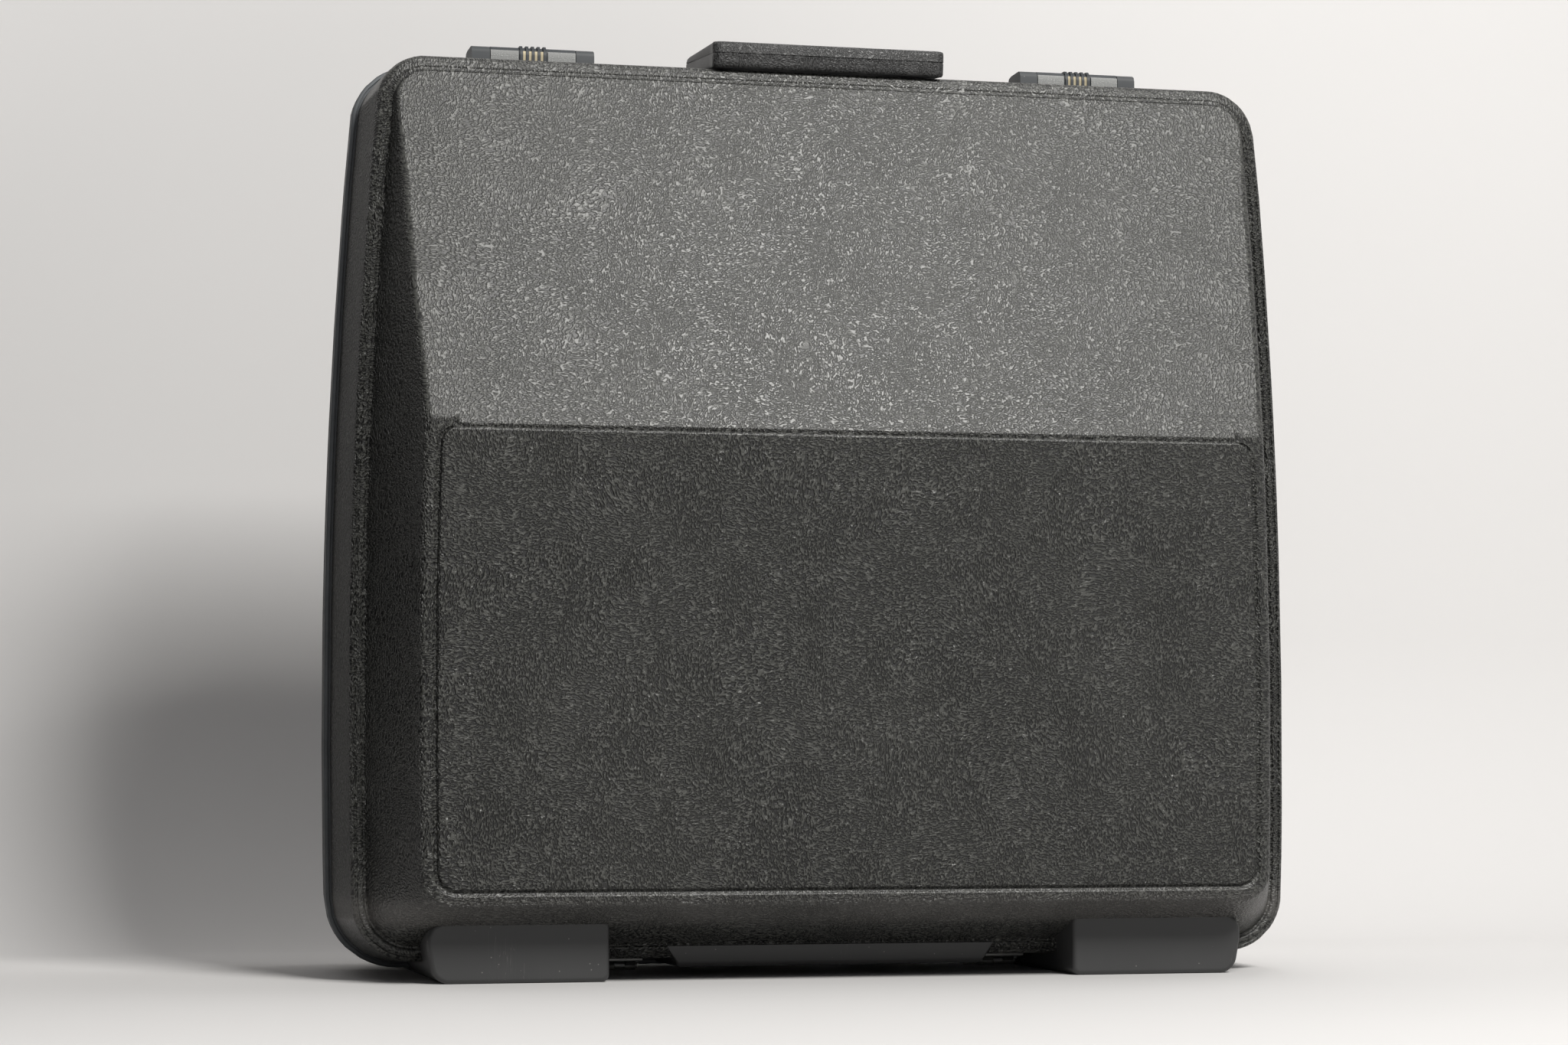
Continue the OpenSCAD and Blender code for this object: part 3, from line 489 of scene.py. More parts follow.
@dataclass(frozen=True)
class Finish:
    """What every finish has: a name, a main colour and how rough it is."""

    name: str
    colour: Colour
    roughness: float

    def begin(self) -> tuple[bpy.types.Material, Nodes, bpy.types.Node, bpy.types.NodeSocket]:
        """Starts the material.

        Returns:
            The material, its node tools, its shader and the Object coordinates.
        """
        material = bpy.data.materials.new(self.name)
        material.use_nodes = True
        material.node_tree.nodes.clear()
        n = Nodes(material.node_tree)
        shader = n.add("ShaderNodeBsdfPrincipled", {"Base Color": self.colour, "Roughness": self.roughness})
        n.add("ShaderNodeOutputMaterial", {"Surface": shader.outputs[0]})
        place = n.add("ShaderNodeTexCoord").outputs["Object"]
        return material, n, shader, place

    @staticmethod
    def use(n: Nodes, group: bpy.types.NodeTree, inputs: dict[str, Any]) -> bpy.types.Node:
        """Places a shared effect with its own values."""
        node = n.add("ShaderNodeGroup", node_tree=group)
        for key, value in inputs.items():
            if isinstance(value, bpy.types.NodeSocket):
                n.tree.links.new(value, node.inputs[key])
            else:
                node.inputs[key].default_value = value
        return node

    @staticmethod
    def relief(n: Nodes, shader: bpy.types.Node, height: Any, depth: float, strength: Any = 1.0) -> None:
        """Feeds a height into the shader's normal, with its depth in millimetres."""
        bump = n.add("ShaderNodeBump", {"Height": height, "Distance": depth * MM, "Strength": strength})
        n.tree.links.new(bump.outputs[0], shader.inputs["Normal"])


@dataclass(frozen=True)
class GrainedPlastic(Finish):
    """Black formed plastic with an embossed leather grain."""

    cell: float = 1.0
    depth: float = 1.2
    crease: float = 0.5
    dust: float = 0.5
    # How much lighter the grain's ridge tops are painted: partly rubbed wear, partly a painted highlight.
    ridge_shine_and_rub: float = 2.4
    smooth_corners: bool = True

    def make(self, effects: Effects) -> bpy.types.Material:
        """Builds the material."""
        material, n, shader, place = self.begin()
        parts = n.add("ShaderNodeSeparateXYZ", {0: place})
        facing = n.add("ShaderNodeSeparateXYZ", {0: n.add("ShaderNodeTexCoord").outputs["Normal"]})
        grain = self.use(n, effects.grain, {"Vector": place, "Cell": self.cell, "Warp": 1.0,
                                            "Crease": self.crease})
        dirt = self.use(n, effects.dust, {"Vector": place, "Size": 1.0, "Amount": self.dust})
        strength: Any = 1.0
        shader.inputs["Specular IOR Level"].default_value = 0.5
        if self.smooth_corners:
            flat = n.add("ShaderNodeCombineXYZ", {0: n.math("ABSOLUTE", parts.outputs[0]), 1: 0.0,
                                                  2: parts.outputs[2]})
            away = n.add("ShaderNodeVectorMath", {0: flat.outputs[0], 1: (0.262, 0.0, 0.012)},
                         operation="DISTANCE").outputs["Value"]
            tilt = n.math("MAXIMUM", n.span(facing.outputs[2], 0.12, 0.22, 1.0, 0.28),
                          n.span(facing.outputs[2], 0.55, 0.75))
            strength = n.math("MULTIPLY", n.span(away, 0.030, 0.060, 0.35, 1.0), tilt)
        broad = n.add("ShaderNodeTexNoise", {"Vector": place, "Scale": 9.0, "Detail": 3.0})
        tone = n.blend(n.span(broad.outputs[0], 0.35, 0.65), self.colour,
                       tuple(c * 1.25 for c in self.colour[:3]) + (1.0,))
        across = n.math("ABSOLUTE", facing.outputs[0])
        # Painted highlight, partly wear: the grain's ridge tops are painted lighter, as where ridges catch the light;
        # faces turned to the sides get less of it, as painted shade.
        ridge_highlight_and_wear = n.math("MULTIPLY", n.span(grain.outputs["Height"], 0.20, 0.65), n.span(across, 0.5, 0.8, 1.0, 0.25))
        ridge_lit_and_rubbed = n.blend(ridge_highlight_and_wear, tone,
                         tuple(c * self.ridge_shine_and_rub for c in self.colour[:3]) + (1.0,))
        # Painted shade: the grain's valleys and creases are painted near black, as where shade falls in them.
        dark = n.blend(n.span(grain.outputs["Valley"], 0.45, 0.95), ridge_lit_and_rubbed, (0.003, 0.003, 0.003, 1.0))
        dusty = n.blend(n.math("MULTIPLY", dirt.outputs["Cloud"], 0.12), dark, (0.14, 0.14, 0.13, 1.0))
        low = n.math("MULTIPLY", n.span(parts.outputs[2], 0.050, 0.038), n.span(parts.outputs[2], 0.026, 0.034))
        soiled = n.blend(n.math("MULTIPLY", n.math("MULTIPLY", low, n.span(broad.outputs[0], 0.3, 0.6, 0.4, 1.0)), 0.4),
                         dusty, (0.125, 0.118, 0.112, 1.0))
        marked = n.blend(n.math("MULTIPLY", dirt.outputs["Scratches"], 0.04), soiled, (0.2, 0.2, 0.19, 1.0))
        n.tree.links.new(marked, shader.inputs["Base Color"])
        side = n.span(across, 0.95, 0.985, 0.0, 0.22)
        rough = n.math("ADD", n.math("MULTIPLY", grain.outputs["Valley"], 0.06),
                       n.math("ADD", side, self.roughness))
        n.tree.links.new(n.math("ADD", rough, n.math("MULTIPLY", dirt.outputs["Cloud"], 0.06)),
                         shader.inputs["Roughness"])
        self.relief(n, shader, grain.outputs["Height"], self.depth, strength)
        return material


@dataclass(frozen=True)
class SmoothPlastic(Finish):
    """Smooth or faintly textured plastic with specks and fine scratches."""

    specks: float = 0.5
    texture: float = 0.02

    def make(self, effects: Effects) -> bpy.types.Material:
        """Builds the material."""
        material, n, shader, place = self.begin()
        dirt = self.use(n, effects.dust, {"Vector": place, "Size": 0.9, "Amount": self.specks})
        marks = n.math("ADD", dirt.outputs["Specks"], dirt.outputs["Scratches"], True)
        tone = n.blend(dirt.outputs["Cloud"], self.colour, tuple(c * 1.2 for c in self.colour[:3]) + (1.0,))
        n.tree.links.new(n.blend(n.math("MULTIPLY", marks, 0.5), tone, (0.3, 0.29, 0.27, 1.0)),
                         shader.inputs["Base Color"])
        n.tree.links.new(n.math("ADD", n.math("MULTIPLY", dirt.outputs["Cloud"], 0.1), self.roughness),
                         shader.inputs["Roughness"])
        fine = n.add("ShaderNodeTexNoise", {"Vector": place, "Scale": 1400.0, "Detail": 2.0})
        self.relief(n, shader, fine.outputs[0], self.texture)
        return material


@dataclass(frozen=True)
class Metal(Finish):
    """Drawn, brushed or plated metal."""

    brushing: Point = (30.0, 900.0, 900.0)
    tarnish: float = 0.3

    def make(self, effects: Effects) -> bpy.types.Material:
        """Builds the material."""
        material, n, shader, place = self.begin()
        shader.inputs["Metallic"].default_value = 1.0
        lines = n.add("ShaderNodeTexNoise", {"Vector": n.vector("MULTIPLY", place, self.brushing),
                                             "Scale": 1.0, "Detail": 3.0})
        dirt = self.use(n, effects.dust, {"Vector": place, "Size": 0.6, "Amount": self.tarnish})
        dull = n.math("ADD", dirt.outputs["Cloud"], n.math("MULTIPLY", dirt.outputs["Specks"], 0.6), True)
        n.tree.links.new(n.blend(dull, self.colour, tuple(c * 0.55 for c in self.colour[:3]) + (1.0,)),
                         shader.inputs["Base Color"])
        rough = n.math("ADD", n.math("MULTIPLY", lines.outputs[0], 0.2), self.roughness)
        n.tree.links.new(n.math("ADD", rough, n.math("MULTIPLY", dull, 0.2)), shader.inputs["Roughness"])
        self.relief(n, shader, lines.outputs[0], 0.015)
        return material


@dataclass(frozen=True)
class StippledPlastic(Finish):
    """Grey plastic insert with a stippled face."""

    pitch: float = 0.9

    def make(self, effects: Effects) -> bpy.types.Material:
        """Builds the material."""
        material, n, shader, place = self.begin()
        dots = self.use(n, effects.stipple, {"Vector": place, "Pitch": self.pitch})
        # Painted shade: the low ground between the raised dots is painted darker than the insert's grey.
        n.tree.links.new(n.blend(dots.outputs["Height"], tuple(c * 0.4 for c in self.colour[:3]) + (1.0,),
                                 self.colour), shader.inputs["Base Color"])
        self.relief(n, shader, dots.outputs["Height"], 0.2)
        return material


@dataclass(frozen=True)
class Plush(Finish):
    """Short dense pile over foam."""

    worn: Colour = (0.36, 0.08, 0.09, 1.0)

    def make(self, effects: Effects) -> bpy.types.Material:
        """Builds the material."""
        material, n, shader, place = self.begin()
        shader.inputs["Sheen Weight"].default_value = 0.6
        shader.inputs["Sheen Roughness"].default_value = 0.45
        pile = self.use(n, effects.pile, {"Vector": place, "Tuft": 0.9})
        shift = n.math("ADD", n.math("MULTIPLY", pile.outputs["Nap"], 0.6),
                       n.math("MULTIPLY", pile.outputs["Height"], 0.4))
        n.tree.links.new(n.blend(shift, self.colour, self.worn), shader.inputs["Base Color"])
        self.relief(n, shader, pile.outputs["Height"], 0.9)
        return material


@dataclass(frozen=True)
class Paper(Finish):
    """Pale background paper that shows only from its front."""

    def make(self, effects: Effects) -> bpy.types.Material:
        """Builds the material."""
        material, n, shader, place = self.begin()
        fibre = n.add("ShaderNodeTexNoise", {"Vector": place, "Scale": 3.0, "Detail": 4.0})
        n.tree.links.new(n.blend(fibre.outputs[0], self.colour,
                                 tuple(c * 0.97 for c in self.colour[:3]) + (1.0,)),
                         shader.inputs["Base Color"])
        clear = n.add("ShaderNodeBsdfTransparent")
        back = n.add("ShaderNodeNewGeometry").outputs["Backfacing"]
        mixed = n.add("ShaderNodeMixShader", {0: back, 1: shader.outputs[0], 2: clear.outputs[0]})
        out = next(x for x in material.node_tree.nodes if x.type == "OUTPUT_MATERIAL")
        n.tree.links.new(mixed.outputs[0], out.inputs["Surface"])
        return material


class Paints:
    """Every material of the scene."""

    def __init__(self) -> None:
        """Builds the shared effects and the materials."""
        effects = Effects()
        self.shell = GrainedPlastic("shell_plastic", (0.0215, 0.0218, 0.0198, 1.0), 0.36).make(effects)
        self.smooth = SmoothPlastic("shell_plastic_smooth", (0.034, 0.0345, 0.035, 1.0), 0.48).make(effects)
        self.rail = Metal("rail_metal", (0.09, 0.095, 0.1, 1.0), 0.42, (6.0, 300.0, 300.0)).make(effects)
        self.steel = Metal("hardware_steel", (0.46, 0.46, 0.45, 1.0), 0.34).make(effects)
        # The handle's grain ridges get a weaker painted highlight, partly wear.
        self.handle = GrainedPlastic("handle_plastic", (0.026, 0.0262, 0.0265, 1.0), 0.42, cell=0.7, depth=0.30,
                                     crease=0.15, ridge_shine_and_rub=1.5, smooth_corners=False).make(effects)
        self.latch = SmoothPlastic("latch_plastic", (0.006, 0.010, 0.014, 1.0), 0.5).make(effects)
        self.insert = StippledPlastic("grip_insert", (0.60, 0.61, 0.60, 1.0), 0.55).make(effects)
        self.gold = Metal("gold_trim", (0.30, 0.265, 0.19, 1.0), 0.5, (900.0, 60.0, 60.0), 0.15).make(effects)
        self.plush = Plush("plush_lining", (0.17, 0.018, 0.028, 1.0), 0.95).make(effects)
        self.cover = Plush("block_cover", (0.12, 0.012, 0.02, 1.0), 0.95, (0.27, 0.05, 0.06, 1.0)).make(effects)
        self.black = SmoothPlastic("black_card", (0.01, 0.01, 0.01, 1.0), 0.9).make(effects)
        self.paper = Paper("background_paper", (0.77, 0.76, 0.755, 1.0), 0.85).make(effects)


def dress(obj: bpy.types.Object, material: bpy.types.Material, slot: str) -> None:
    """Gives a new piece one material, in place of any it had."""
    obj.data.materials.clear()
    obj.data.materials.append(material)


# ---- The case's form


@dataclass(frozen=True)
class CaseOutline:
    """The case seen from the front, as closed lines nested inside each other."""

    width: float = 540.0
    top: float = 505.0
    bottom: float = 4.2
    waist: float = 162.0
    bow: float = 3850.0
    corner_steps: int = 12
    levels: tuple[float, ...] = (
        64, 90, 125, 162, 200, 235, 262, 276, 280.5, 283.2, 285.2, 286.8, 287.8, 288.5, 289.0, 289.4,
        289.8, 290.2, 290.6, 291.0, 291.4, 291.9, 292.5, 293.5, 295, 297, 300, 312, 335, 365, 395, 420, 437)
    radii: tuple[tuple[float, float, float], ...] = (
        (0, 34, 39), (13.1, 20.9, 25.9), (15, 19, 24), (40.7, 16, 14), (44.2, 12.5, 10.5), (60, 5, 4))

    def half(self, inset: float, skin: float = 0.0) -> list[Flat]:
        """Right side of the line at an inset, from the middle of the bottom to that of the top.

        Args:
            inset: How far the line lies inside the rails' edge.
            skin: How far it lies under the shell's surface, which tightens its corners.

        Returns:
            Points as (x, z).
        """
        top_r, low_r = (max(r - skin, 1.5) for r in between(self.radii, inset - skin))
        middle = self.width / 2 - self.bow

        def centre(radius: float, z: float) -> Flat:
            """Centre of a corner that touches the bowed side."""
            return (middle + math.sqrt((self.bow - inset - radius) ** 2 - (z - self.waist) ** 2), z)

        low = centre(low_r, self.bottom + inset + low_r)
        high = centre(top_r, self.top - inset - top_r)
        low_end = math.degrees(math.atan2(low[1] - self.waist, low[0] - middle))
        high_end = math.degrees(math.atan2(high[1] - self.waist, high[0] - middle))
        side = [(middle + math.sqrt((self.bow - inset) ** 2 - (z - self.waist) ** 2), z) for z in self.levels]
        return (arc(low, low_r, -90, low_end, self.corner_steps) + side
                + arc(high, top_r, high_end, 90, self.corner_steps))

    def ring(self, insets: Sequence[float], depths: Sequence[float], half: Half, skin: float = 0.0) -> Ring:
        """Closed ring with its own inset and depth at each point of the right side.

        Args:
            insets: Inset at each point of the right side.
            depths: Distance from the joint at each of them.
            half: Which half of the case.
            skin: How far under the shell's surface.

        Returns:
            Places in millimetres, right side up and left side down.
        """
        right = []
        for k, (inset, depth) in enumerate(zip(insets, depths)):
            x, z = self.half(inset, skin)[k]
            right.append((x, half.value * depth, z))
        return right + [(-x, y, z) for x, y, z in reversed(right)]

    def plain_ring(self, inset: float, depth: float, half: Half, skin: float = 0.0) -> Ring:
        """Closed ring with one inset and one depth."""
        count = len(self.half(inset, skin))
        return self.ring([inset] * count, [depth] * count, half, skin)


LEDGE_GROOVES = ((8.75, -0.35), (9.15, -0.8), (9.6, -0.75), (10.05, -0.25), (10.7, 0.05), (11.5, 0.12),
                 (12.25, 0.0), (12.8, -0.35), (13.25, -0.85), (13.85, -1.0), (14.4, -0.8), (14.85, -0.15))


@dataclass(frozen=True)
class HalfForm:
    """The formed surface of one half, and the surfaces that lie under it."""

    half: Half
    outline: CaseOutline = CaseOutline()
    mouth: float = 5.1
    wall_depth: float = 73.6
    face: float = 132.8
    rise: float = 1.4
    draft: float = 20.556
    edge_r: float = 5.0
    ridge_z: float = 289.8
    ridge_r: float = 14.0
    slope_top: float = 488.3
    top_groove: float = 290.9
    groove: float = 1.0
    panel_r: float = 10.0
    top_band: float = 458.0
    top_lean: float = 1.7

    def wall_inset(self, depth: float) -> float:
        """Inset of the outer wall at a distance from the joint."""
        return 3.3 + 3.1 * (depth - 5.0) / (self.wall_depth - 5.0)

    def front(self, z: float, full: float) -> float:
        """Distance of the face from the joint at a height.

        Args:
            z: The height.
            full: That distance below the ridge.

        Returns:
            The distance, rounded over the ridge and falling back above it on the front half.
        """
        if self.half is Half.REAR:
            return full
        deepest = self.face + self.rise
        fall = (deepest - self.wall_depth) / (self.slope_top - self.ridge_z)
        lean = math.atan(fall)
        corner = self.ridge_z + (deepest - full) / fall
        lap = self.ridge_r * math.tan(lean / 2)
        start, end = corner - lap, corner + lap * math.cos(lean)
        if z <= start:
            return full
        if z < end:
            return full - self.ridge_r + math.sqrt(self.ridge_r ** 2 - (z - start) ** 2)
        return max(deepest - (z - self.ridge_z) * fall, self.wall_depth)

    def corner_shift(self, z: float) -> float:
        """How much further in the panel's border lies at a height, in its rounded upper corners."""
        share = min(max((z - self.top_groove + self.panel_r) / self.panel_r, 0.0), 0.985)
        return self.panel_r * (1 - math.sqrt(1 - share ** 2)) if self.half is Half.FRONT else 0.0

    def skin_line(self, face: float, panel: float, z: float) -> list[Flat]:
        """Section of the outer surface, from the mouth to the panel, as (inset, depth).

        Args:
            face: Distance of the band from the joint at this height.
            panel: Distance of the lower panel from the joint at this height.
            z: The height.

        Returns:
            The same number of points for any distances.
        """
        d = self.wall_depth
        line = [(self.wall_inset(y), y) for y in (self.mouth, 12.0, 34.0, 56.0, 66.0)]
        top = min(max((z - self.top_band) / 25.0, 0.0), 1.0)
        ledge = [(9.4 - 3 * math.cos(math.radians(a)), 3 * math.sin(math.radians(a)) - 3)
                 for a in (0, 18, 36, 54, 70)]
        ledge += [(inset, dip * (1 - 0.8 * top)) for inset, dip in LEDGE_GROOVES]
        line += [(inset, d + dip - self.top_lean * top * (15.0 - inset) / 6.0) for inset, dip in ledge]
        if self.half is Half.FRONT:
            panel -= self.groove * math.exp(-((z - self.top_groove) / 0.8) ** 2)
        return line + self.body_line(face, panel, 15.0, d, self.edge_r, 1.0, self.corner_shift(z))

    def body_line(self, face: float, panel: float, start: float, base: float, edge: float,
                  groove: float, shift: float = 0.0) -> list[Flat]:
        """Section of the raised body, from the ledge to the panel, as (inset, depth).

        Args:
            face: Distance of the band from the joint.
            panel: Distance of the lower panel from the joint.
            start: Inset of the body's foot on the ledge.
            base: Distance of the ledge from the joint.
            edge: Radius of the edge round the face.
            groove: How deep the groove beside the panel is, as a share of its full depth.
            shift: How much further in the panel's border lies.

        Returns:
            The points, each a little further in than the last.
        """
        slope = math.radians(self.draft)
        height = max(face - base, 0.0)
        r = min(edge, 0.25 + 0.45 * height)
        lap = r * math.tan((math.pi / 2 - slope) / 2)
        turn_in = start + height * math.tan(slope) + lap
        a0 = (turn_in - r * math.cos(slope), max(face - r + r * math.sin(slope), base))
        line = [(start + (a0[0] - start) * t, base + (a0[1] - base) * t) for t in (0.02, 0.12, 0.5, 0.9)]
        for k in range(6):
            a = slope + (math.pi / 2 - slope) * k / 5
            line.append((turn_in - r * math.cos(a), max(face - r + r * math.sin(a), base)))
        share = min(max((panel - face) / self.rise, 0.0), 1.0) * groove
        edge_in = start + (self.face - self.wall_depth) * math.tan(slope) + 7.0 + shift
        last = line[-1][0]
        line += [(last + (edge_in - 1.9 - last) * 0.5, face + 0.12 * share), (edge_in - 1.9, face),
                 (edge_in - 1.3, face - 0.5 * share), (edge_in - 0.6, face - self.groove * share),
                 (edge_in + 0.4, face - self.groove * share), (edge_in + 1.0, face + 0.2 * share),
                 (edge_in + 1.5, panel - 0.35 * share), (edge_in + 2.2, panel - 0.08 * share),
                 (edge_in + 3.2, panel)]
        for k in range(1, len(line)):
            line[k] = (max(line[k][0], line[k - 1][0] + 0.08), line[k][1])
        return line

    def under_line(self, skin: float, mouth: float, face: float, panel: float) -> list[Flat]:
        """Section of a surface that lies under the outer one, as (inset, depth)."""
        d = self.wall_depth - skin
        line = [(self.wall_inset(y) + skin, y) for y in (mouth, 30.0, d - 3.0)]
        inset = self.wall_inset(d) + skin
        line += [(inset + 0.2, d - 1.2), (inset + 0.7, d - 0.3), (inset + 1.6, d)]
        foot = 15.0 + skin - skin * math.tan(math.radians(self.draft))
        line += [(foot - 0.7, d)]
        return line + self.body_line(face - skin, panel - skin, foot, d, max(self.edge_r - skin, 1.0), 0.0)

    def rings(self, line: Callable[[float, float, float], list[Flat]], skin: float = 0.0) -> list[Ring]:
        """Rings of a surface from its section, which changes with the height over the ridge.

        Args:
            line: Section for a band's and a panel's distance from the joint and a height.
            skin: How far the surface lies under the outer one.

        Returns:
            Rings from the mouth to the panel.
        """
        count = len(self.outline.half(10.0, skin))
        total = len(line(self.face, self.face + self.rise, 100.0))
        made = []
        for k in range(total):
            insets, depths = [], []
            for j in range(count):
                inset = 10.0
                for _ in range(5):
                    z = self.outline.half(inset, skin)[j][1]
                    inset, depth = line(self.front(z, self.face), self.front(z, self.face + self.rise), z)[k]
                insets.append(inset)
                depths.append(depth)
            made.append(self.outline.ring(insets, depths, self.half, skin))
        return made

    def surface(self, name: str, line: Callable[[float, float, float], list[Flat]], skin: float = 0.0
                ) -> tuple[bpy.types.Object, Ring]:
        """Skins a surface and closes its panel.

        Args:
            name: Name of the mesh.
            line: Its section, as rings() takes it.
            skin: How far it lies under the outer surface.

        Returns:
            The mesh, open at the mouth, and the ring at the mouth.
        """
        rings = self.rings(line, skin)
        obj = loft(name, rings)
        close_across(obj, rings[-1])
        return obj, rings[0]


@dataclass
class Shell:
    """A formed half with its feet and its centre pad."""

    form: HalfForm
    wall: float = 3.5
    foot_inner: float = 128.3
    foot_outer: float = 221.7
    foot_flare: float = 6.2
    foot_front: float = 103.7
    foot_back: float = 5.2
    pad_half: float = 92.0
    pad_front: float = 74.5

    def foot(self, side: int) -> bpy.types.Object:
        """One foot, flared outside, with its upright and lower edges rounded.

        Args:
            side: 1 for the right foot and -1 for the left one.

        Returns:
            A closed solid that reaches up into the body.
        """
        y = self.form.half.value
        xs = sorted((side * self.foot_inner, side * (self.foot_outer + self.foot_flare)))
        ys = sorted((y * self.foot_back, y * self.foot_front))
        obj = block("foot", (xs[0], ys[0], 0.0), (xs[1], ys[1], 34.0))
        outer = side * (self.foot_outer + self.foot_flare)
        pick_vertices(obj, lambda p: abs(p[0] - outer) < 1 and p[2] < 1)
        bpy.ops.transform.translate(value=(-side * self.foot_flare * MM, 0, 0))
        bpy.ops.object.mode_set(mode="OBJECT")
        pick_edges(obj, lambda a, b: a[2] < 1 and b[2] < 1 and abs(a[0] - b[0]) < 1
                   and abs(a[0]) > self.foot_outer - 1)
        bevel_picked(8.0, 6)
        pick_edges(obj, lambda a, b: a[2] < 1 and b[2] < 1 and abs(a[0] - b[0]) < 1
                   and abs(a[0]) < self.foot_inner + 1)
        bevel_picked(4.0, 4)
        pick_edges(obj, lambda a, b: a[2] > 33 and b[2] > 33 and abs(a[0] - b[0]) < 1
                   and abs(a[0]) > self.foot_outer + 1)
        bevel_picked(15.0, 4)
        pick_edges(obj, lambda a, b: a[2] > 33 and b[2] > 33 and abs(a[0] - b[0]) < 1
                   and abs(a[0]) < self.foot_inner + 1)
        bevel_picked(5.0, 3)
        front = y * self.foot_front
        pick_edges(obj, lambda a, b: abs(a[1] - front) < 0.1 and abs(b[1] - front) < 0.1)
        bevel_picked(2.6, 3)
        return obj

    def centre_pad(self) -> bpy.types.Object:
        """The low pad between the feet, with slanted ends and a chamfer below its front."""
        y = self.form.half.value
        ys = sorted((y * 9.0, y * self.pad_front))
        obj = block("centre_pad", (-self.pad_half, ys[0], 6.0), (self.pad_half, ys[1], 17.2))
        pick_vertices(obj, lambda p: p[2] < 7)
        bpy.ops.transform.resize(value=(85.0 / 92.0, 1, 1), center_override=(0, 0, 0))
        bpy.ops.object.mode_set(mode="OBJECT")
        front = y * self.pad_front
        pick_edges(obj, lambda a, b: all(abs(p[1] - front) < 0.1 and p[2] < 7 for p in (a, b)))
        bevel_picked(3.0, 1)
        pick_edges(obj, lambda a, b: abs(a[2] - b[2]) > 2)
        bevel_picked(1.2, 2)
        return obj

    def build(self, name: str) -> bpy.types.Object:
        """Models the half.

        Args:
            name: Name of the piece.

        Returns:
            One closed solid.
        """
        obj, mouth = self.form.surface(name, self.form.skin_line)
        inner, inner_mouth = self.form.surface(
            "inner_skin", lambda face, panel, z: self.form.under_line(self.wall, self.form.mouth, face, panel),
            self.wall)
        make_outward(obj)
        make_outward(inner)
        turn_inside_out(inner)
        join_pieces(obj, [inner])
        join_rings(obj, mouth, inner_mouth)
        make_outward(obj)
        return obj

    def core(self) -> bpy.types.Object:
        """Closed form of the hollow and half the wall, that trims what the feet and pad have inside."""
        skin = self.wall / 2
        obj, mouth = self.form.surface(
            "core", lambda face, panel, z: self.form.under_line(skin, self.form.mouth, face, panel), skin)
        cap_ring(obj, mouth)
        make_outward(obj)
        return obj

    def finish(self, obj: bpy.types.Object, paints: Paints) -> None:
        """Adds feet and pad, and dresses the half."""
        dress(obj, paints.shell, "shell_plastic")
        lumps = self.centre_pad()
        join_pieces(lumps, [self.foot(1), self.foot(-1)])
        make_outward(lumps)
        lumps.data.materials.append(paints.smooth)
        core = self.core()
        core.data.materials.append(paints.smooth)
        combine(lumps, core, "DIFFERENCE")
        combine(obj, lumps, "UNION")
        shade(obj, 38)
        weigh_normals(obj)


def build_shells(paints: Paints) -> None:
    """Builds both formed halves."""
    for half, node, body in ((Half.FRONT, "front_shell", Body.FRONT), (Half.REAR, "rear_shell", Body.REAR)):
        shell = Shell(HalfForm(half))
        obj = shell.build(f"formed_{node}")
        shell.finish(obj, paints)
        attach(obj, body.value)
        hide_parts(node)
        LOG.info("%s: %d faces", obj.name, len(obj.data.polygons))


@dataclass
class Rail:
    """Closing rail round the mouth of one half, with its slit, its flange and its joint."""

    half: Half
    outline: CaseOutline = CaseOutline()
    hinge_x: float = 110.0
    notch: float = 33.2

    def section(self) -> list[Flat]:
        """Section of the rail as a closed line of (inset, distance from the joint)."""
        near = 0.0 if self.half is Half.FRONT else 0.15
        line = [(0.6, near), (0.18, near + 0.15), (0.0, near + 0.55), (0.0, 4.3), (0.15, 4.8), (0.55, 5.0),
                (1.95, 5.0), (2.1, 4.85), (2.1, 4.2), (2.6, 4.2), (2.6, 4.85), (2.75, 5.0), (7.5, 5.0),
                (7.5, 15.6), (7.8, 16.0), (8.7, 16.0), (9.0, 15.6), (9.0, near + 0.3), (8.7, near)]
        if self.half is Half.FRONT:
            return line + [(6.0, near), (6.0, 2.6), (4.0, 2.6), (4.0, near)]
        return line + [(5.7, near), (5.7, -1.7), (5.4, -2.0), (4.6, -2.0), (4.3, -1.7), (4.3, near)]

    def build(self, name: str, node: str, body: Body, paints: Paints) -> bpy.types.Object:
        """Models the rail and clears its notches for the hinges.

        Args:
            name: Name of the piece.
            node: CAD node that it replaces.
            body: Body that it rides on.
            paints: The materials.

        Returns:
            One closed solid.
        """
        rings = [self.outline.plain_ring(inset, depth, self.half) for inset, depth in self.section()]
        obj = loft(name, rings)
        join_rings(obj, rings[0], rings[-1])
        make_outward(obj)
        y = sorted((self.half.value * -3.0, self.half.value * 6.0))
        for side in (-1, 1):
            middle = side * self.hinge_x
            combine(obj, block("notch", (middle - self.notch / 2, y[0], -1.0),
                               (middle + self.notch / 2, y[1], 7.6)), "DIFFERENCE")
        dress(obj, paints.rail, "rail_metal")
        shade(obj, 35)
        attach(obj, body.value)
        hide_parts(node)
        return obj


def build_rails(paints: Paints) -> None:
    """Builds both closing rails."""
    for half, node, body in ((Half.FRONT, "front_rail", Body.FRONT), (Half.REAR, "rear_rail", Body.REAR)):
        obj = Rail(half).build(f"closing_{node}", node, body, paints)
        LOG.info("%s: %d faces", obj.name, len(obj.data.polygons))


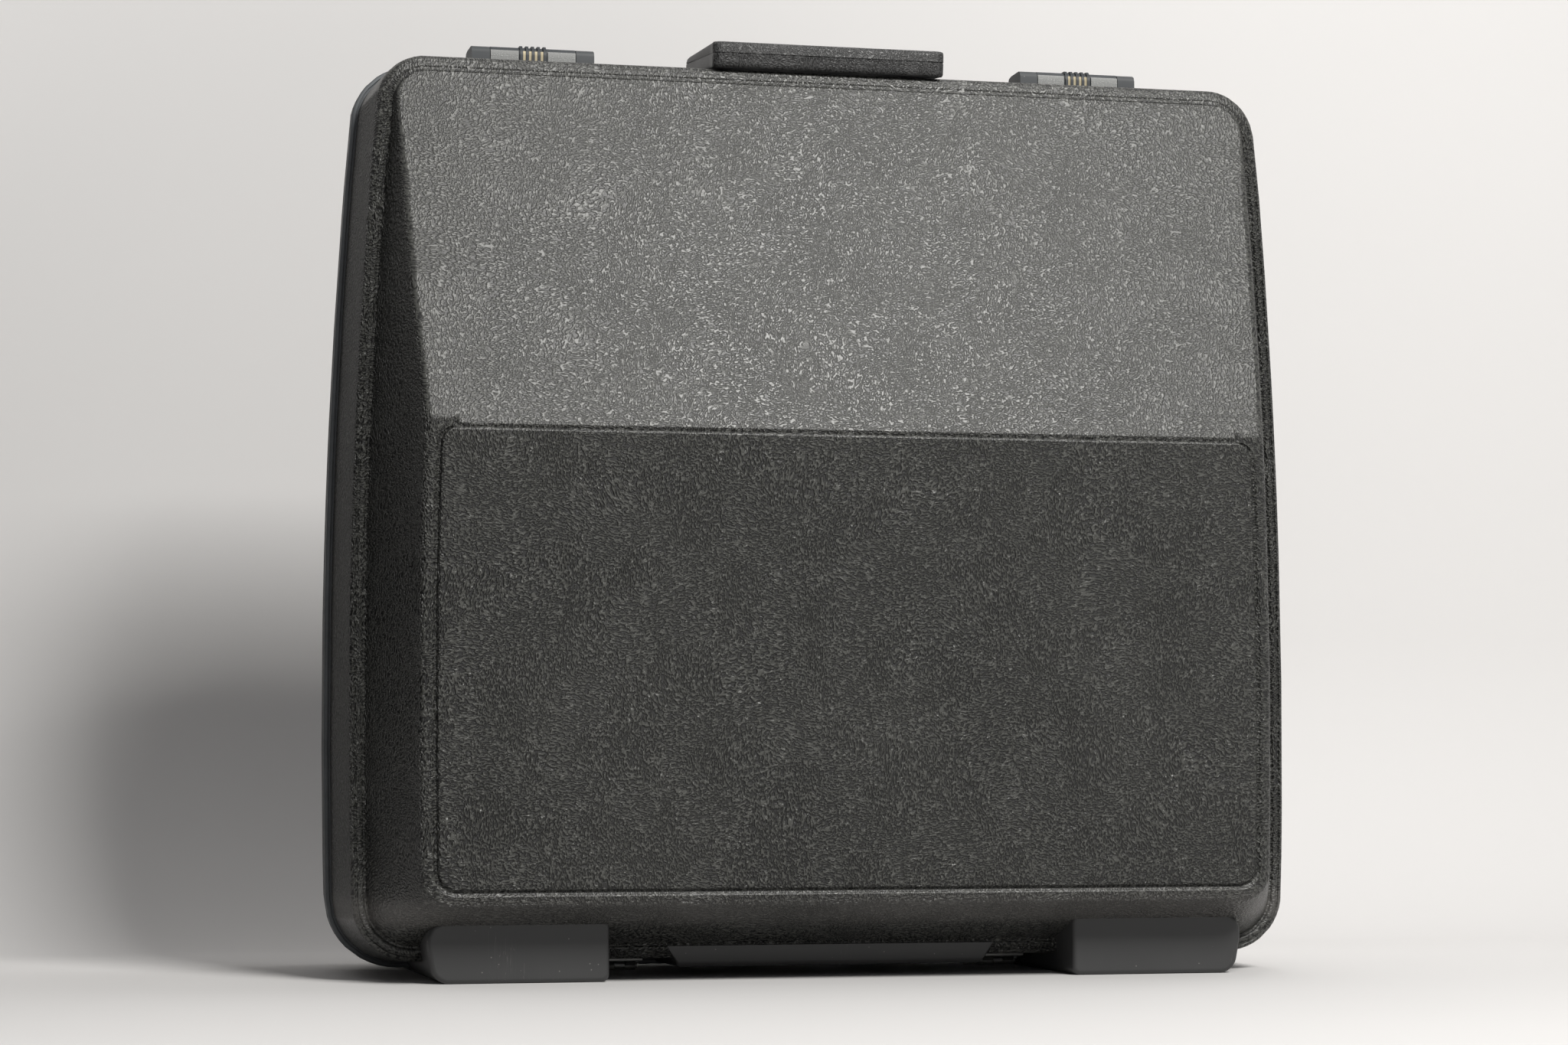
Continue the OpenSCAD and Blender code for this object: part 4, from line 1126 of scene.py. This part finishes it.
@dataclass
class Lining:
    """Plush-covered foam glued inside one half, with a rolled rim and a soft face."""

    form: HalfForm
    gap: float = 3.8
    thickness: float = 8.0
    edge: float = 16.5
    sag: float = 0.7

    def build(self, name: str, node: str, body: Body, paints: Paints) -> bpy.types.Object:
        """Models the lining.

        Args:
            name: Name of the piece.
            node: CAD node that it replaces.
            body: Body that it rides on.
            paints: The materials.

        Returns:
            One closed padded piece.
        """
        outer, outer_edge = self.form.surface(
            name, lambda face, panel, z: self.form.under_line(self.gap, self.edge, face, panel), self.gap)
        deep = self.gap + self.thickness
        inner, inner_edge = self.form.surface(
            "inner_face", lambda face, panel, z: self.form.under_line(deep, self.edge, face, panel), deep)
        make_outward(outer)
        make_outward(inner)
        turn_inside_out(inner)
        join_pieces(outer, [inner])
        join_rings(outer, outer_edge, inner_edge)
        make_outward(outer)
        on_edge = near_ring(inner_edge)
        pick_edges(outer, lambda a, b: on_edge(a) and on_edge(b))
        bevel_picked(3.0, 4)
        for step in range(-7, 8):
            slice_piece(outer, step * 30.0)
        ripple_piece(outer, self.sag, 38.0)
        dress(outer, paints.plush, "plush_lining")
        shade(outer, 50)
        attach(outer, body.value)
        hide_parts(node)
        return outer


@dataclass
class FoamBlock:
    """Covered foam block with a crowned top, that the instrument stands on."""

    half: Half
    half_w: float = 170.0
    back: float = 20.0
    front: float = 59.1
    low: float = 22.7
    high: float = 48.7
    slack: float = 1.8
    swell: float = 1.7
    voxel: float = 4.5
    pressure: float = 4.0
    frames: int = 20

    def crown(self, obj: bpy.types.Object) -> None:
        """Swells the top and pulls the long sides in between the corners."""
        middle = (self.back + self.front) / 2 * self.half.value
        for vertex in obj.data.vertices:
            x, y, z = (c / MM for c in vertex.co)
            along = max(1 - (x / self.half_w) ** 2, 0.0)
            across = max(1 - ((y - middle) / 19.5) ** 2, 0.0)
            rise = (z - self.low) / (self.high - self.low)
            pull = 0.9 * math.sin(math.pi * min(max(rise, 0.0), 1.0)) * along
            z += 1.8 * along * across * max(rise, 0.0) - 0.5 * (1 - across) * rise
            y += (middle - y) / 20.0 * pull
            vertex.co = (x * MM, y * MM, z * MM)

    def fill(self, obj: bpy.types.Object) -> None:
        """Fills the cover: an even mesh, a short cloth simulation and a cap on how far it swells."""
        take(obj)
        even = obj.modifiers.new("even", "REMESH")
        even.mode = "VOXEL"
        even.voxel_size = self.voxel * MM
        bpy.ops.object.modifier_apply(modifier=even.name)
        start = [vertex.co.copy() for vertex in obj.data.vertices]
        cover = obj.modifiers.new("cover", "CLOTH")
        cover.settings.use_pressure = True
        cover.settings.uniform_pressure_force = self.pressure
        cover.settings.effector_weights.gravity = 0.0
        for frame_number in range(1, self.frames + 1):
            bpy.context.scene.frame_set(frame_number)
        bpy.ops.object.modifier_apply(modifier=cover.name)
        bpy.context.scene.frame_set(1)
        for vertex, place in zip(obj.data.vertices, start):
            move = vertex.co - place
            if move.length > self.swell * MM:
                vertex.co = place + move.normalized() * self.swell * MM

    def build(self, name: str, node: str, body: Body, paints: Paints) -> bpy.types.Object:
        """Models the block.

        Args:
            name: Name of the piece.
            node: CAD node that it replaces.
            body: Body that it rides on.
            paints: The materials.

        Returns:
            One closed padded piece.
        """
        s = self.slack
        ys = sorted((self.half.value * (self.back + s), self.half.value * (self.front - s)))
        obj = block(name, (-self.half_w + s, ys[0], self.low + s - 0.2), (self.half_w - s, ys[1], self.high - s))
        pick_edges(obj, lambda a, b: True)
        bevel_picked(5.0, 4)
        self.fill(obj)
        self.crown(obj)
        ripple_piece(obj, 0.35, 24.0)
        take(obj)
        smooth = obj.modifiers.new("soften", "SUBSURF")
        smooth.levels = smooth.render_levels = 1
        bpy.ops.object.modifier_apply(modifier=smooth.name)
        dress(obj, paints.cover, "block_cover")
        shade(obj, 60)
        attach(obj, body.value)
        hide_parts(node)
        return obj


def slice_piece(obj: bpy.types.Object, at: float, normal: Point = (1.0, 0.0, 0.0)) -> None:
    """Cuts a row of edges through a whole piece where a plane crosses it, in millimetres."""
    take(obj)
    bpy.ops.object.mode_set(mode="EDIT")
    bpy.ops.mesh.select_all(action="SELECT")
    bpy.ops.mesh.bisect(plane_co=[c * at * MM for c in normal], plane_no=normal)
    bpy.ops.object.mode_set(mode="OBJECT")


def ripple_piece(obj: bpy.types.Object, depth: float, length: float) -> None:
    """Presses a soft, uneven ripple into a piece along its normals.

    Args:
        obj: The piece.
        depth: Deepest press in millimetres.
        length: Rough length of a ripple in millimetres.
    """
    moves = []
    for vertex in obj.data.vertices:
        value = noise.noise(vertex.co / (length * MM)) * 0.7 + noise.noise(vertex.co / (length * MM * 0.4)) * 0.3
        moves.append(vertex.normal * (-abs(value) * depth * MM))
    for vertex, move in zip(obj.data.vertices, moves):
        vertex.co += move


def build_soft_parts(paints: Paints) -> None:
    """Builds the linings and the foam blocks of both halves."""
    for half, body, word in ((Half.FRONT, Body.FRONT, "front"), (Half.REAR, Body.REAR, "rear")):
        lining = Lining(HalfForm(half)).build(f"plush_{word}_lining", f"{word}_lining", body, paints)
        pad = FoamBlock(half).build(f"foam_{word}_block", f"{word}_block", body, paints)
        LOG.info("%s, %s: %d faces", lining.name, pad.name, len(lining.data.polygons) + len(pad.data.polygons))


@dataclass
class Handle:
    """U-shaped handle of two mouldings that meet in a fine seam."""

    half_w: float = 66.0
    arm_w: float = 14.0
    reach: float = 73.6
    depth: float = 22.0
    pivot: Flat = (-4.5, 511.8)
    droop: float = 6.8
    seam: float = 2.8
    tail: float = 6.0
    outer_r: float = 5.0
    inner_r: float = 7.0
    step: float = 0.5

    def place(self, x: float, y: float, z: float) -> Point:
        """Takes a place in the handle's own frame to the case's."""
        c, s = math.cos(math.radians(self.droop)), math.sin(math.radians(self.droop))
        return (x, self.pivot[0] + y * c - z * s, self.pivot[1] + y * s + z * c)

    def path(self) -> list[tuple[Flat, Flat, float]]:
        """Stations from the right arm's tail round to the middle of the grip.

        Returns:
            For each station its outer point, its inner point and how far it is a grip, from 0
            on an arm to 1.
        """
        inner_w = self.half_w - self.arm_w
        low_out, low_in = -self.reach + self.outer_r, -self.reach + self.depth + self.inner_r
        stations = []
        side = self.half_w - self.step
        for t in (0.0, 0.03, 0.1, 0.22, 0.4, 0.55, 0.7, 0.85, 0.985, 0.995):
            out_x = side if t < 0.99 else self.half_w
            stations.append(((out_x, self.tail + (low_out - self.tail) * t),
                             (inner_w, self.tail + (low_in - self.tail) * t), 0.0))
        outs = arc((self.half_w - self.outer_r, low_out), self.outer_r, 0, -90, 9)
        ins = arc((inner_w - self.inner_r, low_in), self.inner_r, 0, -90, 9)
        for k, (a, b) in enumerate(zip(outs, ins)):
            stations.append((a, b, k / 9))
        for x in (0.8, 0.6, 0.4, 0.2, 0.0):
            stations.append((((self.half_w - self.outer_r) * x, -self.reach),
                             ((inner_w - self.inner_r) * x, -self.reach + self.depth), 1.0))
        return stations

    def section(self, outer: Flat, inner: Flat, grip: float, upper: bool) -> Ring:
        """Closed section of one moulding at a station.

        Args:
            outer: The station's outer point in plan.
            inner: Its inner point in plan.
            grip: How far the station is a grip, from 0 to 1.
            upper: Whether this is the upper moulding.

        Returns:
            The ring of places.
        """
        y = (outer[1] + inner[1]) / 2
        back = min(max((self.tail - y) / (self.tail + self.reach - self.depth / 2), 0.0), 1.0)
        end = 1.0 if y < 2.5 else math.sqrt(max(1 - ((y - 2.5) / 3.6) ** 2, 0.02))
        limit = 6.14 + 3.2 * back if upper else -4.5 - 0.4 * back
        tail_z = 2.7 if upper else -1.0
        limit = tail_z + (limit - tail_z) * end if end < 1 else limit
        if upper:
            limit = max(limit, self.seam + 0.6)
        radius = min(1.4 + 1.8 * grip, abs(limit - self.seam) * 0.82)
        width = math.dist(outer, inner)
        sign = 1 if upper else -1
        swell = 0.7 * grip
        profile = [(0.5, self.seam), (0.0, self.seam + sign * 0.5)]
        profile += [(swell + radius - radius * math.cos(a), limit - sign * (radius - radius * math.sin(a)))
                    for a in (math.pi / 2 * k / 6 for k in range(7))]
        full = profile + [(width - u, z) for u, z in reversed(profile)]
        return [self.place(inner[0] + (outer[0] - inner[0]) * u / width,
                           inner[1] + (outer[1] - inner[1]) * u / width, z) for u, z in full]

    def build(self, name: str, node: str, upper: bool, paints: Paints) -> bpy.types.Object:
        """Models one moulding.

        Args:
            name: Name of the piece.
            node: CAD node that it replaces.
            upper: Whether this is the upper moulding.
            paints: The materials.

        Returns:
            One closed solid.
        """
        right = [self.section(*station, upper) for station in self.path()]
        rings = right + [[(-x, y, z) for x, y, z in ring] for ring in reversed(right[:-1])]
        obj = loft(name, rings)
        cap_ring(obj, rings[0])
        cap_ring(obj, rings[-1])
        make_outward(obj)
        if not upper:
            for x, y in ((-59.0, -26.0), (59.0, -26.0), (-22.0, -68.2), (22.0, -68.2)):
                combine(obj, self.counterbore(x, y), "DIFFERENCE")
        dress(obj, paints.handle, "handle_plastic")
        obj.data.materials.append(paints.smooth)
        grip_y = self.place(0.0, -self.reach + self.outer_r - 0.2, 0.0)[1] * MM
        for face in obj.data.polygons:
            face.material_index = 1 if face.center.y > grip_y else 0
        shade(obj, 40)
        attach(obj, Body.HANDLE.value)
        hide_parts(node)
        return obj

    def counterbore(self, x: float, y: float) -> bpy.types.Object:
        """Round cutter for a screw's head, square to the handle's underside."""
        clear_selection()
        bpy.ops.mesh.primitive_cylinder_add(
            vertices=32, radius=2.8 * MM, depth=5.0 * MM,
            location=[c * MM for c in self.place(x, y, -5.0)],
            rotation=(math.radians(self.droop), 0, 0))
        cutter = name_piece(bpy.context.object, "counterbore")
        bpy.ops.object.transform_apply(location=True, rotation=True, scale=True)
        return cutter


def build_handle(paints: Paints) -> None:
    """Builds both mouldings of the handle."""
    for word, upper in (("upper", True), ("lower", False)):
        obj = Handle().build(f"grip_{word}_moulding", f"handle_{word}", upper, paints)
        LOG.info("%s: %d faces", obj.name, len(obj.data.polygons))


@dataclass(frozen=True)
class Fitting:
    """A fitting whose packed form is right but whose edges are eased on the real one."""

    node: str
    name: str
    body: Body
    slot: str
    ease: float
    segments: int = 2

    def build(self, material: bpy.types.Material) -> bpy.types.Object:
        """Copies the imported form, merges it, eases its edges and dresses it.

        Args:
            material: What it is dressed in.

        Returns:
            The piece that replaces the node.
        """
        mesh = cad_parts[self.node].data.copy()
        mesh.materials.clear()
        obj = name_piece(bpy.data.objects.new(self.name, mesh), self.name)
        bpy.context.scene.collection.objects.link(obj)
        take(obj)
        bpy.ops.object.mode_set(mode="EDIT")
        bpy.ops.mesh.select_all(action="SELECT")
        bpy.ops.mesh.remove_doubles(threshold=0.000005)
        bpy.ops.mesh.dissolve_limited(angle_limit=math.radians(1.0))
        bpy.ops.mesh.normals_make_consistent(inside=False)
        bpy.ops.object.mode_set(mode="OBJECT")
        eased = obj.modifiers.new("eased", "BEVEL")
        eased.width = self.ease * MM
        eased.segments = self.segments
        eased.limit_method = "ANGLE"
        eased.angle_limit = math.radians(32)
        eased.miter_outer = "MITER_ARC"
        bpy.ops.object.modifier_apply(modifier=eased.name)
        dress(obj, material, self.slot)
        shade(obj, 35)
        weigh_normals(obj)
        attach(obj, self.body.value)
        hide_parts(self.node)
        return obj


def build_fittings(paints: Paints) -> None:
    """Builds the eased fittings and dresses the small hardware that keeps its packed form."""
    fittings = [
        (Fitting("handle_brackets", "handle_bracket_pair", Body.FRONT, "handle_plastic", 0.5), paints.smooth),
        (Fitting("hinge_leaf_front", "front_hinge_leaves", Body.FRONT, "hardware_steel", 0.2), paints.steel),
        (Fitting("hinge_leaf_rear", "rear_hinge_leaves", Body.REAR, "hardware_steel", 0.2), paints.steel),
        (Fitting("keepers", "catch_plates", Body.REAR, "hardware_steel", 0.25), paints.steel)]
    for side, lever_body, hasp_body in (("left", Body.LEFT_LEVER, Body.LEFT_HASP),
                                        ("right", Body.RIGHT_LEVER, Body.RIGHT_HASP)):
        fittings += [
            (Fitting(f"latch_base_{side}", f"{side}_latch_body", Body.FRONT, "latch_plastic", 0.55, 3),
             paints.latch),
            (Fitting(f"lever_{side}", f"{side}_draw_lever", lever_body, "latch_plastic", 0.3), paints.latch),
            (Fitting(f"grip_pads_{side}", f"{side}_stippled_pads", lever_body, "grip_insert", 0.2),
             paints.insert),
            (Fitting(f"stripes_{side}", f"{side}_gold_strips", lever_body, "gold_trim", 0.12), paints.gold),
            (Fitting(f"hasp_{side}", f"{side}_hasp_plate", hasp_body, "hardware_steel", 0.3), paints.steel)]
    for fitting, material in fittings:
        obj = fitting.build(material)
        LOG.info("%s: %d faces", obj.name, len(obj.data.polygons))
    kept = ["hinge_pins", "hinge_rivets_front", "hinge_rivets_rear", "handle_core", "handle_screws",
            "handle_pins", "bracket_rivets", "lever_pins", "hasp_pins_left", "hasp_pins_right",
            "latch_rivets", "keeper_rivets"]
    for node in kept:
        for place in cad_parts[node].material_slots:
            place.material = paints.steel


# ---- Stage, light and camera


@dataclass(frozen=True)
class Studio:
    """Paper sweep, soft lamps and the camera at the photograph's angle."""

    sweep_y: float = 470.0
    sweep_r: float = 210.0
    width: float = 3400.0

    def sweep(self, paints: Paints) -> None:
        """Floor that curves up into a background."""
        line = [(-3200.0, 0.0), (-1200.0, 0.0), (0.0, 0.0), (self.sweep_y - self.sweep_r, 0.0)]
        line += [(self.sweep_y - self.sweep_r + self.sweep_r * math.sin(math.radians(a)),
                  self.sweep_r - self.sweep_r * math.cos(math.radians(a))) for a in range(6, 91, 6)]
        line += [(self.sweep_y, 2600.0)]
        clear_selection()
        bpy.ops.mesh.primitive_plane_add(size=1.0)
        obj = name_piece(bpy.context.object, "paper_sweep")
        obj.data.clear_geometry()
        places = [(x * MM, y * MM, z * MM) for y, z in line for x in (-self.width, self.width)]
        faces = [(2 * k, 2 * k + 1, 2 * k + 3, 2 * k + 2) for k in range(len(line) - 1)]
        obj.data.from_pydata(places, [], faces)
        obj.data.materials.append(paints.paper)
        shade(obj, 40)

    @staticmethod
    def card(paints: Paints) -> None:
        """Black card beside the left wall, out of the picture, that keeps its side dark."""
        obj = block("black_card", (-560.0, -450.0, 40.0), (-554.0, 460.0, 470.0))
        obj.data.materials.append(paints.black)
        obj.visible_camera = False
        obj.visible_shadow = False

    @staticmethod
    def lamp(name: str, place: Point, aim: Point, size: Flat, power: float, colour: Point) -> None:
        """Adds one soft lamp.

        Args:
            name: Name of the lamp.
            place: Where it hangs, in metres.
            aim: What it points at.
            size: Its width and height in metres.
            power: Its power in watts.
            colour: Its colour.
        """
        data = bpy.data.lights.new(name, "AREA")
        data.shape = "RECTANGLE"
        data.size, data.size_y = size
        data.energy = power
        data.color = colour
        obj = bpy.data.objects.new(name, data)
        bpy.context.scene.collection.objects.link(obj)
        obj.location = place
        reach = [a - b for a, b in zip(aim, place)]
        flat = math.hypot(reach[0], reach[1])
        obj.rotation_euler = (math.atan2(flat, -reach[2]), 0.0, math.atan2(-reach[0], reach[1]))

    def light(self) -> None:
        """One soft lamp from above on the right, a weak one behind, and a quiet world."""
        self.lamp("key_box", (0.60, -2.10, 1.98), (0.0, 0.0, 0.26), (0.8, 0.8), 78.0, (1.0, 0.985, 0.955))
        self.lamp("top_box", (0.35, 0.25, 1.75), (0.1, 0.3, 0.2), (0.7, 0.5), 4.0, (1.0, 0.99, 0.98))
        world = bpy.data.worlds.new("studio")
        bpy.context.scene.world = world
        world.use_nodes = True
        n = Nodes(world.node_tree)
        world.node_tree.nodes.clear()
        ambient = n.add("ShaderNodeBackground", {"Color": (0.94, 0.95, 1.0, 1.0), "Strength": 0.12})
        seen = n.add("ShaderNodeBackground", {"Color": (0.60, 0.595, 0.59, 1.0), "Strength": 1.0})
        ray = n.add("ShaderNodeLightPath")
        shown = n.math("ADD", ray.outputs["Is Camera Ray"], ray.outputs["Is Transmission Ray"], True)
        shown = n.math("ADD", shown, ray.outputs["Is Glossy Ray"], True)
        mixed = n.add("ShaderNodeMixShader", {0: shown, 1: ambient.outputs[0], 2: seen.outputs[0]})
        n.add("ShaderNodeOutputWorld", {"Surface": mixed.outputs[0]})

    @staticmethod
    def camera() -> None:
        """Camera at the photograph's viewing angle."""
        data = bpy.data.cameras.new("camera")
        data.lens = 80.66
        data.sensor_width = 36.0
        obj = bpy.data.objects.new("camera", data)
        bpy.context.scene.collection.objects.link(obj)
        obj.location = (-0.4682, -1.9436, 0.1038)
        obj.rotation_euler = (math.radians(94.27), math.radians(0.11), math.radians(-13.29))
        bpy.context.scene.camera = obj


def main() -> None:
    """Builds the scene, piece by piece."""
    logging.basicConfig(level=logging.INFO, format="%(message)s")
    studio = Studio()
    studio.camera()
    paints = Paints()
    studio.sweep(paints)
    studio.card(paints)
    studio.light()
    build_shells(paints)
    build_rails(paints)
    build_handle(paints)
    build_fittings(paints)
    build_soft_parts(paints)
    bpy.context.scene.view_settings.view_transform = "Standard"


if __name__ == "__main__":
    main()
